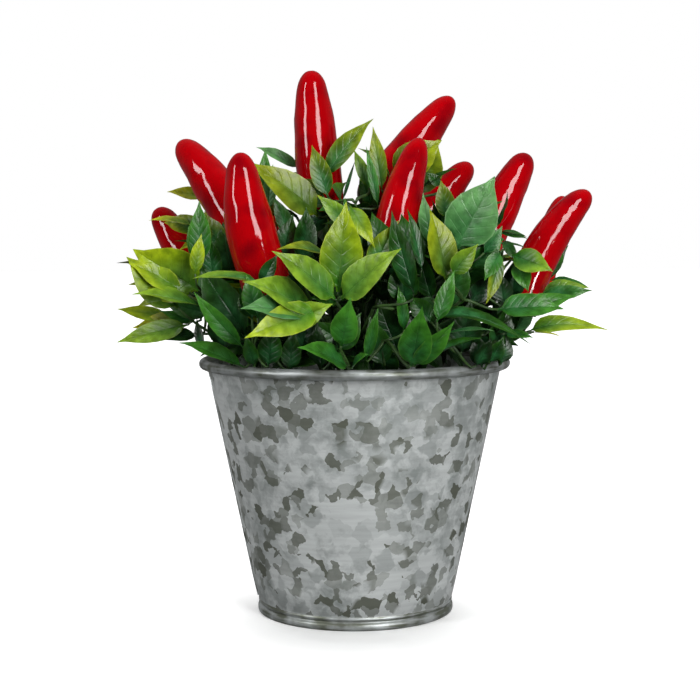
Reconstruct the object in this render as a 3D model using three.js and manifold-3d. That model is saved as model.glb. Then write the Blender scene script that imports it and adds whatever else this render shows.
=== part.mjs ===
// An artificial chilli pepper plant in a tapered galvanised pot.
// Millimetres, +Z up. The origin is the middle of the pot's flat underside, and the front faces -Y.
//
// The pot is a rolled-rim wall on a flat base, filled with a plug of foam. A short main stem stands on it.
// Boughs leave the stem and each ends at a mass of leafy twigs, and the chillies stand among them on stalks.
// Every mass keeps to its own share of the crown: the points nearer to its middle than to another's middle.

import * as THREE from 'three';
import { mergeVertices } from 'three/addons/utils/BufferGeometryUtils.js';
import Module from 'manifold-3d';

// Gap between pieces that touch on the real plant
const GAP = 0.3;

// Pot
const POT = {
  sides: 40,
  sheet: 0.8,
  baseThickness: 1.6,
  footRadius: 39.6,
  footHeight: 3,
  footRound: 0.5,
  lipWidth: 2.2,
  wallFoot: 3.3,
  wallFootRadius: 39.2,
  wallTopRadius: 59.1,
  beadMiddle: 60.5,
  beadRadius: 2,
  beadHeight: 100.4,
  beadStart: -134,
  beadEnd: 140,
  beadSteps: 6,
};

// Foam plug
const PLUG = { top: 90 };

// Main stem
const STEM = { footRadius: 5.2, topRadius: 3.2, height: 32, sides: 8, leanX: 1.5, leanY: 0.8 };

// Crown: middle of the dome that the twigs fill
const CROWN = { x: 2, y: 0, z: 104 };
const CELL_REACH = 60;
const CELL_GAP = 0.2;
const LOWEST_LEAF = 104.6;

// Boughs
const BOUGH = {
  rootRadius: 1.6,
  topRootRadius: 1.25,
  tipRadius: 1.1,
  sides: 4,
  steps: 4,
  tipReach: 25,
  firstHeight: 5,
  heightPerLean: 0.42,
  topRing: 1.9,
  stemGap: 0.4,
};

// Twigs and leaves
const TWIG = { stemRadius: 1.4, stalkRadius: 1.2, tipRadius: 0.95, sides: 3 };
const LEAF = {
  length: 28.5,
  lengthSpread: 0.16,
  widthShare: 0.58,
  fold: 0.42,
  droop: 0.2,
  thickness: 0.9,
  splay: 56,
  tries: 16,
  clearance: 0.5,
  firstSwing: 6,
  moreSwing: 3.5,
  closing: 0.07,
  roll: 0.35,
  shrink: 0.018,
  ownRoom: 0.7,
};
// Places on a grown leaf that later leaves keep clear of
const LEAF_MARKS = { along: [0.2, 0.35, 0.5, 0.65, 0.8, 0.95], across: [-0.8, 0, 0.8] };
const LEAF_TEST = { steps: 12, across: 3, first: 2 };
const LEAF_RINGS = [
  { along: -0.012, width: 0 },
  { along: 0.42, width: 1 },
  { along: 1, width: 0 },
];
const PAIR_PLACES = [0.28, 0.62, 0.94];
const PAIR_SIZES = [0.95, 1, 0.94];

// Masses: turn about +Z from +X and lean above level in degrees, and the leaf tips' reach from the middle
const MASSES = [
  { name: 'leaf_mass_front', turn: 270, lean: 13, reach: 90 },
  { name: 'leaf_mass_front_right', turn: 314, lean: 13, reach: 94 },
  { name: 'leaf_mass_right', turn: 358, lean: 12, reach: 103 },
  { name: 'leaf_mass_back_right', turn: 44, lean: 13, reach: 93 },
  { name: 'leaf_mass_back', turn: 90, lean: 13, reach: 90 },
  { name: 'leaf_mass_back_left', turn: 137, lean: 13, reach: 93 },
  { name: 'leaf_mass_left', turn: 181, lean: 15, reach: 103 },
  { name: 'leaf_mass_front_left', turn: 225, lean: 12, reach: 94 },
  { name: 'leaf_mass_mid_front', turn: 273, lean: 42, reach: 87 },
  { name: 'leaf_mass_mid_front_right', turn: 325, lean: 42, reach: 89 },
  { name: 'leaf_mass_mid_right', turn: 17, lean: 40, reach: 88 },
  { name: 'leaf_mass_mid_back_right', turn: 68, lean: 42, reach: 88 },
  { name: 'leaf_mass_mid_back_left', turn: 121, lean: 42, reach: 88 },
  { name: 'leaf_mass_mid_left', turn: 172, lean: 42, reach: 93 },
  { name: 'leaf_mass_mid_front_left', turn: 221, lean: 40, reach: 88 },
  { name: 'leaf_mass_top_left', turn: 170, lean: 71, reach: 92 },
  { name: 'leaf_mass_top_front', turn: 290, lean: 74, reach: 95 },
  { name: 'leaf_mass_top_right', turn: 50, lean: 72, reach: 92 },
];
// Sprays of a mass: how far across and up the mass's share each points, and where along the stem it leaves
const SPRAY = {
  places: [[-0.9, -0.55], [0.95, -0.5], [-0.65, 0.75], [0.7, 0.8]],
  leaves: [0.3, 0.55, 0.8, 1],
  width: 0.27,
  stray: 0.2,
  moreStray: 0.06,
  shrink: 0.008,
  tries: 24,
  stemLength: 12,
  stemRoom: 5,

  unevenReach: 0.07,
  heartDepth: 40,
  forkBalls: 6,
  rollStray: 20,
  splayStray: 9,
  endTurn: 0.6,
};

// Chillies: lower end and tip of each fruit, its thickest radius and how far its middle bows
const CHILLIES = [
  { foot: [-12, 3, 158], tip: [-17, 2, 217], radius: 8.9, bow: 0.5 },
  { foot: [-40, -20, 146], tip: [-69.3, -2, 188.4], radius: 8.7, bow: -2.2 },
  { foot: [-30.5, -43, 127], tip: [-42, -46, 182], radius: 9.4, bow: 2.5 },
  { foot: [-55.4, 22, 129], tip: [-82.6, 30, 163], radius: 8, bow: 2 },
  { foot: [12, -29, 137], tip: [26, -18, 188.6], radius: 7.9, bow: -1.5 },
  { foot: [5, 7, 162], tip: [40.7, 20, 207.6], radius: 8.4, bow: -0.5 },
  { foot: [19.5, 21, 145], tip: [49.4, 32, 181], radius: 7.4, bow: -1 },
  { foot: [46, 0, 134], tip: [70.5, 6, 183.6], radius: 8.3, bow: -1.4 },
  { foot: [65.3, -11, 121], tip: [93.4, -6, 168], radius: 7.7, bow: -4.5 },
  { foot: [78, 38, 126], tip: [90.4, 43, 167.6], radius: 6.4, bow: -1 },
  { foot: [14, 46, 122], tip: [19, 60, 168], radius: 7.6, bow: 3 },
  { foot: [-28, 42, 130], tip: [-46, 54, 172], radius: 7.6, bow: -3 },
];
const FRUIT_PROFILE = [
  [0, 0.42], [0.04, 0.8], [0.16, 0.97], [0.34, 1], [0.54, 0.96],
  [0.72, 0.85], [0.87, 0.69], [0.96, 0.47], [1, 0],
];
const FRUIT = { sides: 8, stalkDepth: 2.5 };
const STALK = {
  radius: 1.15,
  sides: 4,
  steps: 3,
  rootRing: 13,
  ringStep: 4,
  turnStep: 5,
  clearance: 0.4,
  tries: 72,
};

// Colours
const COLOURS = {
  zinc: 0xa3aba9,
  foam: 0x2f2a20,
  stem: 0x4a6b2c,
  leaf: 0x4d7a2e,
  chilli: 0xb3000a,
};

const SEED = 20713;
const DEGREE = Math.PI / 180;

const wasm = await Module();
wasm.setup();

const plant = new THREE.Group();

// A number from 0 to 1 that depends only on the whole numbers it is given
function chance(...keys) {
  let mixed = SEED >>> 0;
  for (const key of keys) {
    mixed = Math.imul(mixed ^ (key + 1), 2654435761) >>> 0;
    mixed = (mixed ^ (mixed >>> 15)) >>> 0;
    mixed = Math.imul(mixed, 2246822519) >>> 0;
    mixed = (mixed ^ (mixed >>> 13)) >>> 0;
  }
  return mixed / 4294967296;
}

function spread(amount, ...keys) {
  return (chance(...keys) * 2 - 1) * amount;
}

function direction(turn, lean) {
  const level = Math.cos(lean * DEGREE);
  return new THREE.Vector3(
    level * Math.cos(turn * DEGREE),
    level * Math.sin(turn * DEGREE),
    Math.sin(lean * DEGREE),
  );
}

const crownMiddle = new THREE.Vector3(CROWN.x, CROWN.y, CROWN.z);

function fromCrown(turn, lean, reach) {
  return direction(turn, lean).multiplyScalar(reach).add(crownMiddle);
}

// The part of a vector that is square to another, made one long
function squareTo(vector, axis) {
  return vector.clone().addScaledVector(axis, -vector.dot(axis)).normalize();
}

// Closed mesh with its corners merged, as a solid that can be joined
function solidOf(geometry) {
  const bare = geometry.clone();
  bare.deleteAttribute('normal');
  bare.deleteAttribute('uv');
  const merged = mergeVertices(bare, 1e-5);
  return new wasm.Manifold(new wasm.Mesh({
    numProp: 3,
    vertProperties: new Float32Array(merged.attributes.position.array),
    triVerts: new Uint32Array(merged.index.array),
  }));
}

function geometryOf(solid) {
  const mesh = solid.getMesh();
  const geometry = new THREE.BufferGeometry();
  geometry.setAttribute('position', new THREE.BufferAttribute(new Float32Array(mesh.vertProperties), 3));
  geometry.setIndex(new THREE.BufferAttribute(new Uint32Array(mesh.triVerts), 1));
  geometry.computeVertexNormals();
  return geometry;
}

function addPiece(name, geometry, colour, roughness, metalness) {
  const material = new THREE.MeshStandardMaterial({ color: colour, roughness, metalness });
  const piece = new THREE.Mesh(geometry, material);
  piece.name = name;
  plant.add(piece);
}

// Moves a geometry that stands on +Y from 0 to 1 onto a curve, with its X and Z kept square to the curve
function bendOnto(geometry, curve) {
  const chord = curve.getPoint(1).sub(curve.getPoint(0)).normalize();
  const guide = Math.abs(chord.z) > 0.8 ? new THREE.Vector3(1, 0, 0) : new THREE.Vector3(0, 0, 1);
  const places = geometry.attributes.position;
  for (let i = 0; i < places.count; i += 1) {
    const share = Math.min(1, Math.max(0, places.getY(i)));
    const tangent = curve.getTangent(share).normalize();
    const front = squareTo(guide, tangent);
    const side = tangent.clone().cross(front);
    const place = curve.getPoint(share);
    place.addScaledVector(side, places.getX(i)).addScaledVector(front, places.getZ(i));
    places.setXYZ(i, place.x, place.y, place.z);
  }
  return geometry;
}

// A round or many-sided limb that tapers along a curve
function limb(curve, rootRadius, tipRadius, sides, steps) {
  const straight = new THREE.CylinderGeometry(tipRadius, rootRadius, 1, sides, steps);
  straight.translate(0, 0.5, 0);
  return bendOnto(straight, curve);
}

// Everything that leaves keep clear of, as a chain of balls along each limb and fruit
const balls = [];
const boughBalls = [];
const massStemBalls = [];

function ballsAlong(curve, radiusAt, spacing) {
  const length = curve.getLength();
  const count = Math.max(2, Math.ceil(length / spacing));
  const chain = [];
  for (let i = 0; i <= count; i += 1) {
    const place = curve.getPoint(i / count);
    chain.push({ x: place.x, y: place.y, z: place.z, r: radiusAt(i / count) });
  }
  return chain;
}

function ballsTouch(chain, others, clearance) {
  for (const a of chain) {
    for (const b of others) {
      const room = a.r + b.r + clearance;
      if ((a.x - b.x) ** 2 + (a.y - b.y) ** 2 + (a.z - b.z) ** 2 < room * room) return true;
    }
  }
  return false;
}

function pointTouches(x, y, z, others, clearance) {
  for (const b of others) {
    const room = b.r + clearance;
    if ((x - b.x) ** 2 + (y - b.y) ** 2 + (z - b.z) ** 2 < room * room) return true;
  }
  return false;
}

// Radius of the outside of the pot's wall at a height
function wallRadius(height) {
  const share = (height - POT.wallFoot) / (POT.beadHeight - POT.wallFoot);
  return POT.wallFootRadius + (POT.wallTopRadius - POT.wallFootRadius) * share;
}

function turned(profile) {
  const points = profile.map(([radius, height]) => new THREE.Vector2(radius, height));
  return new THREE.LatheGeometry(points, POT.sides).rotateX(Math.PI / 2);
}

function addPot() {
  const foot = POT.wallFoot;
  const wall = [[wallRadius(foot), foot]];
  for (let i = 0; i <= POT.beadSteps; i += 1) {
    const angle = (POT.beadStart + ((POT.beadEnd - POT.beadStart) * i) / POT.beadSteps) * DEGREE;
    wall.push([
      POT.beadMiddle + POT.beadRadius * Math.cos(angle),
      POT.beadHeight + POT.beadRadius * Math.sin(angle),
    ]);
  }
  wall.push([wallRadius(POT.beadHeight) - POT.sheet, POT.beadHeight]);
  wall.push([wallRadius(foot) - POT.sheet, foot]);
  wall.push(wall[0]);
  addPiece('pot_wall', turned(wall), COLOURS.zinc, 0.45, 0.8);

  const lip = POT.footRadius - POT.lipWidth;
  const base = [
    [0, 0],
    [POT.footRadius - POT.footRound, 0],
    [POT.footRadius, POT.footRound],
    [POT.footRadius, POT.footHeight - POT.footRound],
    [POT.footRadius - POT.footRound, POT.footHeight],
    [lip, POT.footHeight],
    [lip, POT.baseThickness],
    [0, POT.baseThickness],
  ];
  addPiece('pot_base', turned(base), COLOURS.zinc, 0.45, 0.8);

  const inside = (height) => wallRadius(height) - POT.sheet - GAP - 0.1;
  const plug = [
    [0, POT.baseThickness + GAP],
    [lip - GAP, POT.baseThickness + GAP],
    [lip - GAP, foot + 1],
    [inside(foot + 2), foot + 2],
    [inside(PLUG.top), PLUG.top],
    [0, PLUG.top],
  ];
  addPiece('foam_plug', turned(plug), COLOURS.foam, 0.95, 0);
}

// Middle and radius of the main stem at a height
function stemAt(height) {
  const share = (height - PLUG.top - GAP) / STEM.height;
  return {
    x: STEM.leanX * share,
    y: STEM.leanY * share,
    radius: STEM.footRadius + (STEM.topRadius - STEM.footRadius) * share,
  };
}

function addStem() {
  const foot = new THREE.Vector3(0, 0, PLUG.top + GAP);
  const top = new THREE.Vector3(STEM.leanX, STEM.leanY, PLUG.top + GAP + STEM.height);
  const line = new THREE.LineCurve3(foot, top);
  const stem = limb(line, STEM.footRadius, STEM.topRadius, STEM.sides, 2);
  const places = stem.attributes.position;
  for (let i = 0; i < places.count; i += 1) {
    if (places.getZ(i) < foot.z + 1) places.setZ(i, foot.z);
  }
  addPiece('main_stem', stem, COLOURS.stem, 0.7, 0);
  balls.push(...ballsAlong(line, (share) => stemAt(foot.z + STEM.height * share).radius, 1.2));
}

// Each bough leaves the stem level, or its top end steeply, and arrives at its mass along the mass's own aim
function addBough(mass) {
  const aim = direction(mass.turn, mass.lean);
  const steep = mass.lean > 60;
  const height = PLUG.top + GAP + (steep ? STEM.height : BOUGH.firstHeight + BOUGH.heightPerLean * mass.lean);
  const stem = stemAt(height);
  const out = direction(mass.turn, 0);
  const start = new THREE.Vector3(stem.x, stem.y, height);
  const leave = steep ? new THREE.Vector3(0, 0, 1) : out;
  if (steep) start.addScaledVector(out, BOUGH.topRing).addScaledVector(leave, GAP);
  else start.addScaledVector(out, stem.radius + BOUGH.stemGap);
  const end = fromCrown(mass.turn, mass.lean, BOUGH.tipReach).addScaledVector(aim, -GAP / 2);
  const pull = start.distanceTo(end) * 0.38;
  const curve = new THREE.CubicBezierCurve3(
    start,
    start.clone().addScaledVector(leave, pull),
    end.clone().addScaledVector(aim, -pull),
    end,
  );
  const rootRadius = steep ? BOUGH.topRootRadius : BOUGH.rootRadius;
  addPiece(
    `bough_${mass.name.replace('leaf_mass_', '')}`,
    limb(curve, rootRadius, BOUGH.tipRadius, BOUGH.sides, BOUGH.steps),
    COLOURS.stem, 0.7, 0,
  );
  const chain = ballsAlong(curve, (share) => rootRadius + (BOUGH.tipRadius - rootRadius) * share, 1.2);
  boughBalls.push(...chain);
  const stemEnd = end.clone().addScaledVector(aim, SPRAY.stemLength + SPRAY.stemRoom);
  const massStem = new THREE.LineCurve3(end, stemEnd);
  massStemBalls.push(...ballsAlong(massStem, () => TWIG.stemRadius, 1.2));
}

// A fruit stands on a stalk that rises from the plug. The stalk takes the first free place round the plug.
function addChilli(chilli, index) {
  const foot = new THREE.Vector3(...chilli.foot);
  const tip = new THREE.Vector3(...chilli.tip);
  const along = tip.clone().sub(foot).normalize();
  const level = new THREE.Vector3(along.x, along.y, 0).normalize();
  const bowed = squareTo(level, along);
  const middle = foot.clone().lerp(tip, 0.5).addScaledVector(bowed, 2 * chilli.bow);
  const fruitCurve = new THREE.QuadraticBezierCurve3(foot, middle, tip);
  const profile = [[0, 0], ...FRUIT_PROFILE.map(([share, width]) => [width * chilli.radius, share])];
  const straight = new THREE.LatheGeometry(profile.map(([x, y]) => new THREE.Vector2(x, y)), FRUIT.sides);
  const fruit = bendOnto(straight, fruitCurve);
  const fruitBalls = ballsAlong(fruitCurve, (share) => fruitRadius(share) * chilli.radius, 1.5);

  const leave = middle.clone().sub(foot).normalize();
  const inside = foot.clone().addScaledVector(leave, FRUIT.stalkDepth);
  const homeTurn = Math.atan2(foot.y, foot.x);
  let stalkCurve = null;
  let chain = null;
  for (let attempt = 0; attempt < STALK.tries && !stalkCurve; attempt += 1) {
    const side = (attempt % 2 ? 1 : -1) * Math.ceil(attempt / 2);
    const ring = STALK.rootRing + (attempt % 3) * STALK.ringStep;
    const turn = homeTurn + side * STALK.turnStep * DEGREE;
    const root = new THREE.Vector3(ring * Math.cos(turn), ring * Math.sin(turn), PLUG.top + GAP);
    const reach = root.distanceTo(inside);
    const curve = new THREE.CubicBezierCurve3(
      root,
      root.clone().add(new THREE.Vector3(0, 0, reach * 0.35)),
      inside.clone().addScaledVector(leave, -reach * 0.3),
      inside,
    );
    const tryChain = ballsAlong(curve, () => STALK.radius, 1.2);
    if (ballsTouch(tryChain, [...balls, ...boughBalls, ...massStemBalls], STALK.clearance)) continue;
    stalkCurve = curve;
    chain = tryChain;
  }
  if (!stalkCurve) throw new Error(`no room for the stalk of chilli ${index + 1}`);
  const stalk = limb(stalkCurve, STALK.radius, STALK.radius, STALK.sides, STALK.steps);
  const whole = solidOf(fruit).add(solidOf(stalk));
  const number = String(index + 1).padStart(2, '0');
  addPiece(`chilli_${number}`, geometryOf(whole), COLOURS.chilli, 0.2, 0);
  balls.push(...fruitBalls, ...chain);
}

function fruitRadius(share) {
  for (let i = 1; i < FRUIT_PROFILE.length; i += 1) {
    const [end, width] = FRUIT_PROFILE[i];
    const [start, before] = FRUIT_PROFILE[i - 1];
    if (share <= end) return before + ((width - before) * (share - start)) / (end - start);
  }
  return 0;
}

// Middles of the masses' shares of the crown
const cells = MASSES.map((mass) => fromCrown(mass.turn, mass.lean, CELL_REACH));

// How far a point is inside its own share
function roomInCell(x, y, z, own) {
  let room = Infinity;
  const home = cells[own];
  for (let other = 0; other < cells.length; other += 1) {
    if (other === own) continue;
    const away = cells[other];
    const apart = home.distanceTo(away);
    const toHome = (x - home.x) ** 2 + (y - home.y) ** 2 + (z - home.z) ** 2;
    const toAway = (x - away.x) ** 2 + (y - away.y) ** 2 + (z - away.z) ** 2;
    room = Math.min(room, (toAway - toHome) / (2 * apart));
  }
  return room;
}

function halfWidth(leaf, along) {
  for (let i = 1; i < LEAF_RINGS.length; i += 1) {
    const before = LEAF_RINGS[i - 1];
    const ring = LEAF_RINGS[i];
    if (along <= ring.along) {
      const share = (along - before.along) / (ring.along - before.along);
      return leaf.halfWidth * (before.width + (ring.width - before.width) * share);
    }
  }
  return 0;
}

// A place on a leaf: along its rib from 0 to 1, across it from -1 to 1, and off its face in millimetres
function leafPlace(leaf, along, across, off) {
  const width = halfWidth(leaf, along);
  const lift = LEAF.fold * Math.abs(across) * width - LEAF.droop * leaf.length * along * along + off;
  return leaf.root.clone()
    .addScaledVector(leaf.aim, leaf.length * along)
    .addScaledVector(leaf.side, across * width)
    .addScaledVector(leaf.face, lift);
}

function leafTests(leaf) {
  const places = [];
  for (let i = LEAF_TEST.first; i <= LEAF_TEST.steps; i += 1) {
    const along = i / LEAF_TEST.steps;
    const most = i === LEAF_TEST.steps ? 0 : LEAF_TEST.across;
    for (let j = -most; j <= most; j += 1) {
      places.push(leafPlace(leaf, along, most ? j / most : 0, 0));
    }
  }
  return places;
}

function leafFits(leaf, own, neighbours) {
  for (const place of leafTests(leaf)) {
    const { x, y, z } = place;
    if (z < LOWEST_LEAF) return false;
    if (roomInCell(x, y, z, own) < CELL_GAP + LEAF.thickness / 2) return false;
    if (pointTouches(x, y, z, balls, LEAF.clearance)) return false;
    if (pointTouches(x, y, z, neighbours, LEAF.clearance)) return false;
  }
  return true;
}

function makeLeaf(root, aim, face, length) {
  const straight = aim.clone().normalize();
  const square = squareTo(face, straight);
  return {
    root,
    aim: straight,
    face: square,
    side: straight.clone().cross(square),
    length,
    halfWidth: (length * LEAF.widthShare) / 2,
  };
}

// Tries a leaf in its wanted pose, then in poses turned and shortened by the seeded rule, until one is free
function growLeaf(root, aim, face, onward, length, own, neighbours, keys) {
  for (let attempt = 0; attempt < LEAF.tries; attempt += 1) {
    const swing = (LEAF.firstSwing + LEAF.moreSwing * attempt) * DEGREE;
    const side = face.clone().cross(aim).normalize();
    const tried = aim.clone()
      .addScaledVector(onward, LEAF.closing * attempt)
      .addScaledVector(side, Math.tan(spread(swing, ...keys, attempt, 1)))
      .addScaledVector(face, Math.tan(spread(swing, ...keys, attempt, 2)))
      .normalize();
    const rolled = face.clone().addScaledVector(side, spread(LEAF.roll, ...keys, attempt, 3));
    const leaf = makeLeaf(root, tried, rolled, length * (1 - LEAF.shrink * attempt));
    if (leafFits(leaf, own, neighbours)) return leaf;
  }
  return null;
}

// Four-sided spindle whose rings lie at the leaf's named places: edge, upper face, other edge, lower face
function leafSolid(leaf) {
  const rows = LEAF_RINGS.length - 1;
  const spindle = new THREE.CylinderGeometry(0, 0, 1, 4, rows, true);
  const places = spindle.attributes.position;
  for (let i = 0; i < places.count; i += 1) {
    const ring = LEAF_RINGS[rows - Math.floor(i / 5)];
    const quarter = (i % 5) * 90 * DEGREE;
    const across = ring.width ? Math.round(Math.sin(quarter)) : 0;
    const off = (Math.round(Math.cos(quarter)) * ring.width * LEAF.thickness) / 2;
    const place = leafPlace(leaf, ring.along, across, off);
    places.setXYZ(i, place.x, place.y, place.z);
  }
  return solidOf(spindle);
}

// The stalk of one spray. Its heading strays further with each try, until the stalk is free.
function growStalk(mass, own, spray, stemStart, taken) {
  const aim = direction(mass.turn, mass.lean);
  const east = direction(mass.turn + 90, 0);
  const north = east.clone().cross(aim).negate();
  const [across, up] = SPRAY.places[spray];
  const start = stemStart.clone().addScaledVector(aim, SPRAY.stemLength * SPRAY.leaves[spray]);
  const length = LEAF.length * (1 + spread(LEAF.lengthSpread, own, spray, 14));
  for (let attempt = 0; attempt < SPRAY.tries; attempt += 1) {
    const stray = SPRAY.stray + SPRAY.moreStray * attempt;
    const heading = aim.clone()
      .addScaledVector(east, (across + spread(stray, own, spray, attempt, 11)) * SPRAY.width)
      .addScaledVector(north, (up + spread(stray, own, spray, attempt, 12)) * SPRAY.width)
      .normalize();
    const reach = mass.reach * (1 - SPRAY.unevenReach * chance(own, spray, 13) - SPRAY.shrink * attempt);
    const target = crownMiddle.clone().addScaledVector(heading, reach);
    const outward = target.clone().sub(start).normalize();
    const end = target.clone().addScaledVector(outward, -length);
    const curve = new THREE.LineCurve3(start, end);
    const chain = ballsAlong(curve, () => TWIG.stalkRadius, 1.2);
    const outside = chain.some((ball) => ball.z < LOWEST_LEAF + TWIG.stalkRadius
      || roomInCell(ball.x, ball.y, ball.z, own) < TWIG.stalkRadius + CELL_GAP);
    if (outside || ballsTouch(chain, balls, GAP)) continue;
    if (ballsTouch(chain.slice(SPRAY.forkBalls), taken, GAP)) continue;
    return { spray, curve, chain, length };
  }
  return null;
}

// Direction away from the heart of the plant, square to a stalk
function outwardFrom(root, tangent) {
  const heart = new THREE.Vector3(CROWN.x, CROWN.y, CROWN.z - SPRAY.heartDepth);
  return squareTo(root.clone().sub(heart), tangent);
}

// A pair of leaves that face the stalk's end, each pair turned on from the last
function growPair(own, stalk, pair, leaves, limbs, solids) {
  const { spray, curve } = stalk;
  const root = curve.getPoint(PAIR_PLACES[pair]);
  const tangent = curve.getTangent(PAIR_PLACES[pair]).normalize();
  const flat = outwardFrom(root, tangent);
  const square = flat.clone().cross(tangent);
  const stray = spread(SPRAY.rollStray, own, spray, pair, 16);
  const roll = (chance(own, spray, 15) * 180 + 90 * pair + stray) * DEGREE;
  for (const hand of [1, -1]) {
    const key = [own, spray, pair, hand + 1];
    const sideways = square.clone().multiplyScalar(hand * Math.cos(roll))
      .addScaledVector(flat, hand * Math.sin(roll));
    const splay = (LEAF.splay + spread(SPRAY.splayStray, ...key, 17)) * DEGREE;
    const aim = tangent.clone().multiplyScalar(Math.cos(splay)).addScaledVector(sideways, Math.sin(splay));
    const face = tangent.clone().multiplyScalar(Math.sin(splay)).addScaledVector(sideways, -Math.cos(splay));
    const length = LEAF.length * (1 + spread(LEAF.lengthSpread, ...key, 18)) * PAIR_SIZES[pair];
    const leaf = growLeaf(root, aim, face, tangent, length, own, [...limbs, ...leaves], key);
    keepLeaf(leaf, leaves, solids);
  }
}

// The leaf at the end of a spray's stalk
function growEndLeaf(own, stalk, leaves, limbs, solids) {
  const { spray, curve, length } = stalk;
  const root = curve.getPoint(1);
  const tangent = curve.getTangent(1).normalize();
  const face = outwardFrom(root, tangent).add(new THREE.Vector3(
    spread(SPRAY.endTurn, own, spray, 19),
    spread(SPRAY.endTurn, own, spray, 20),
    spread(SPRAY.endTurn, own, spray, 21),
  ));
  const key = [own, spray, 9, 9];
  const square = squareTo(face, tangent);
  const leaf = growLeaf(root, tangent, square, tangent, length, own, [...limbs, ...leaves], key);
  keepLeaf(leaf, leaves, solids);
}

function keepLeaf(leaf, leaves, solids) {
  if (!leaf) return;
  solids.push(leafSolid(leaf));
  for (const along of LEAF_MARKS.along) {
    for (const across of LEAF_MARKS.across) {
      const place = leafPlace(leaf, along, across, 0);
      leaves.push({ x: place.x, y: place.y, z: place.z, r: LEAF.ownRoom });
    }
  }
}

function addMass(mass, own) {
  const aim = direction(mass.turn, mass.lean);
  const stemStart = fromCrown(mass.turn, mass.lean, BOUGH.tipReach).addScaledVector(aim, GAP / 2);
  const stemEnd = stemStart.clone().addScaledVector(aim, SPRAY.stemLength);
  const stem = new THREE.LineCurve3(stemStart, stemEnd);
  const solids = [solidOf(limb(stem, TWIG.stemRadius, TWIG.stalkRadius, TWIG.sides, 1))];
  const stemBalls = ballsAlong(stem, () => TWIG.stemRadius, 1.2);
  const stalks = [];
  for (let spray = 0; spray < SPRAY.places.length; spray += 1) {
    const stalk = growStalk(mass, own, spray, stemStart, stalks.flatMap((other) => other.chain));
    if (!stalk) continue;
    stalks.push(stalk);
    solids.push(solidOf(limb(stalk.curve, TWIG.stalkRadius, TWIG.tipRadius, TWIG.sides, 1)));
  }
  const leaves = [];
  const roomFor = (stalk) => [
    ...stemBalls,
    ...stalks.filter((other) => other !== stalk).flatMap((other) => other.chain),
  ];
  for (const stalk of stalks) growEndLeaf(own, stalk, leaves, roomFor(stalk), solids);
  for (let pair = PAIR_PLACES.length - 1; pair >= 0; pair -= 1) {
    for (const stalk of stalks) growPair(own, stalk, pair, leaves, roomFor(stalk), solids);
  }
  addPiece(mass.name, geometryOf(wasm.Manifold.union(solids)), COLOURS.leaf, 0.45, 0);
}

addPot();
addStem();
MASSES.forEach(addBough);
CHILLIES.forEach(addChilli);
balls.push(...boughBalls);
MASSES.forEach(addMass);

export default plant;
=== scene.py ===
# Looks of an artificial chilli pepper plant in a galvanised pot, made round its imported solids.
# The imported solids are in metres. The growing rule works in millimetres, as the part's source does, and
# every mesh is turned to metres when it is made. +Z is up and the front faces -Y.

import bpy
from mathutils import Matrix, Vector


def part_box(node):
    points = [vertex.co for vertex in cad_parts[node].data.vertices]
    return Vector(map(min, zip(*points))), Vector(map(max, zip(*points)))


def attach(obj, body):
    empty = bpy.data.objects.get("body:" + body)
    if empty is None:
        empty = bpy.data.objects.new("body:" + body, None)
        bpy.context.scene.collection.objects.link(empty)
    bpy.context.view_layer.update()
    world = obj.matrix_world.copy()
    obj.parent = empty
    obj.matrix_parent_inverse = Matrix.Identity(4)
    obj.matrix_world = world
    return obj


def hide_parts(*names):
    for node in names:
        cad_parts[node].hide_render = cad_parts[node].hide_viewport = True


bl_info = {
    "name": "Chilli Plant in a Zinc Pot",
    "version": (1, 0, 0),
    "blender": (4, 5, 0),
    "location": "3D View > Sidebar > Chilli Plant",
    "description": "Dresses a potted artificial chilli plant: zinc pot, foam, twigs, leaves and glossy fruit",
    "category": "Add Mesh",
}

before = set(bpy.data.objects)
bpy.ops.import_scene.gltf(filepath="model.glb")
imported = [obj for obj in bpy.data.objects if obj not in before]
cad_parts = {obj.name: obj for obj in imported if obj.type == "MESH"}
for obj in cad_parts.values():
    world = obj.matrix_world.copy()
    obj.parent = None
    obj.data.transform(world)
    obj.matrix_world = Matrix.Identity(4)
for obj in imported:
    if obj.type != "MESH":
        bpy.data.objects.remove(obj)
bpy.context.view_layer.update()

import functools
import math

import bmesh
import bpy
import numpy as np
from mathutils import Matrix, Vector, noise

BODY = "root"
MM = 0.001
DEGREE = math.pi / 180
# Points of a mesh that are nearer than this are one
SAME_PLACE = 1e-5
# A limb whose rise is more than this share of its length counts as upright
UPRIGHT = 0.8

# Gap between pieces that touch on the real plant
GAP = 0.3

# The growing rule's sizes, as the part's source has them
PLUG_TOP = 90
STEM = {"foot": 5.2, "top": 3.2, "height": 32, "lean_x": 1.5, "lean_y": 0.8}
CROWN = np.array([2.0, 0.0, 104.0])
CELL_REACH = 60
CELL_GAP = 0.2
LOWEST_LEAF = 104.6
BALL_SPACING = 1.2
WIDEST_BALL = 15
LENGTH_STEPS = 200
BOUGH = {
    "root": 1.6, "top_root": 1.25, "tip": 1.1, "tip_reach": 25, "first_height": 5,
    "height_per_lean": 0.42, "top_ring": 1.9, "stem_gap": 0.4, "pull": 0.38, "steep": 60,
}
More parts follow.
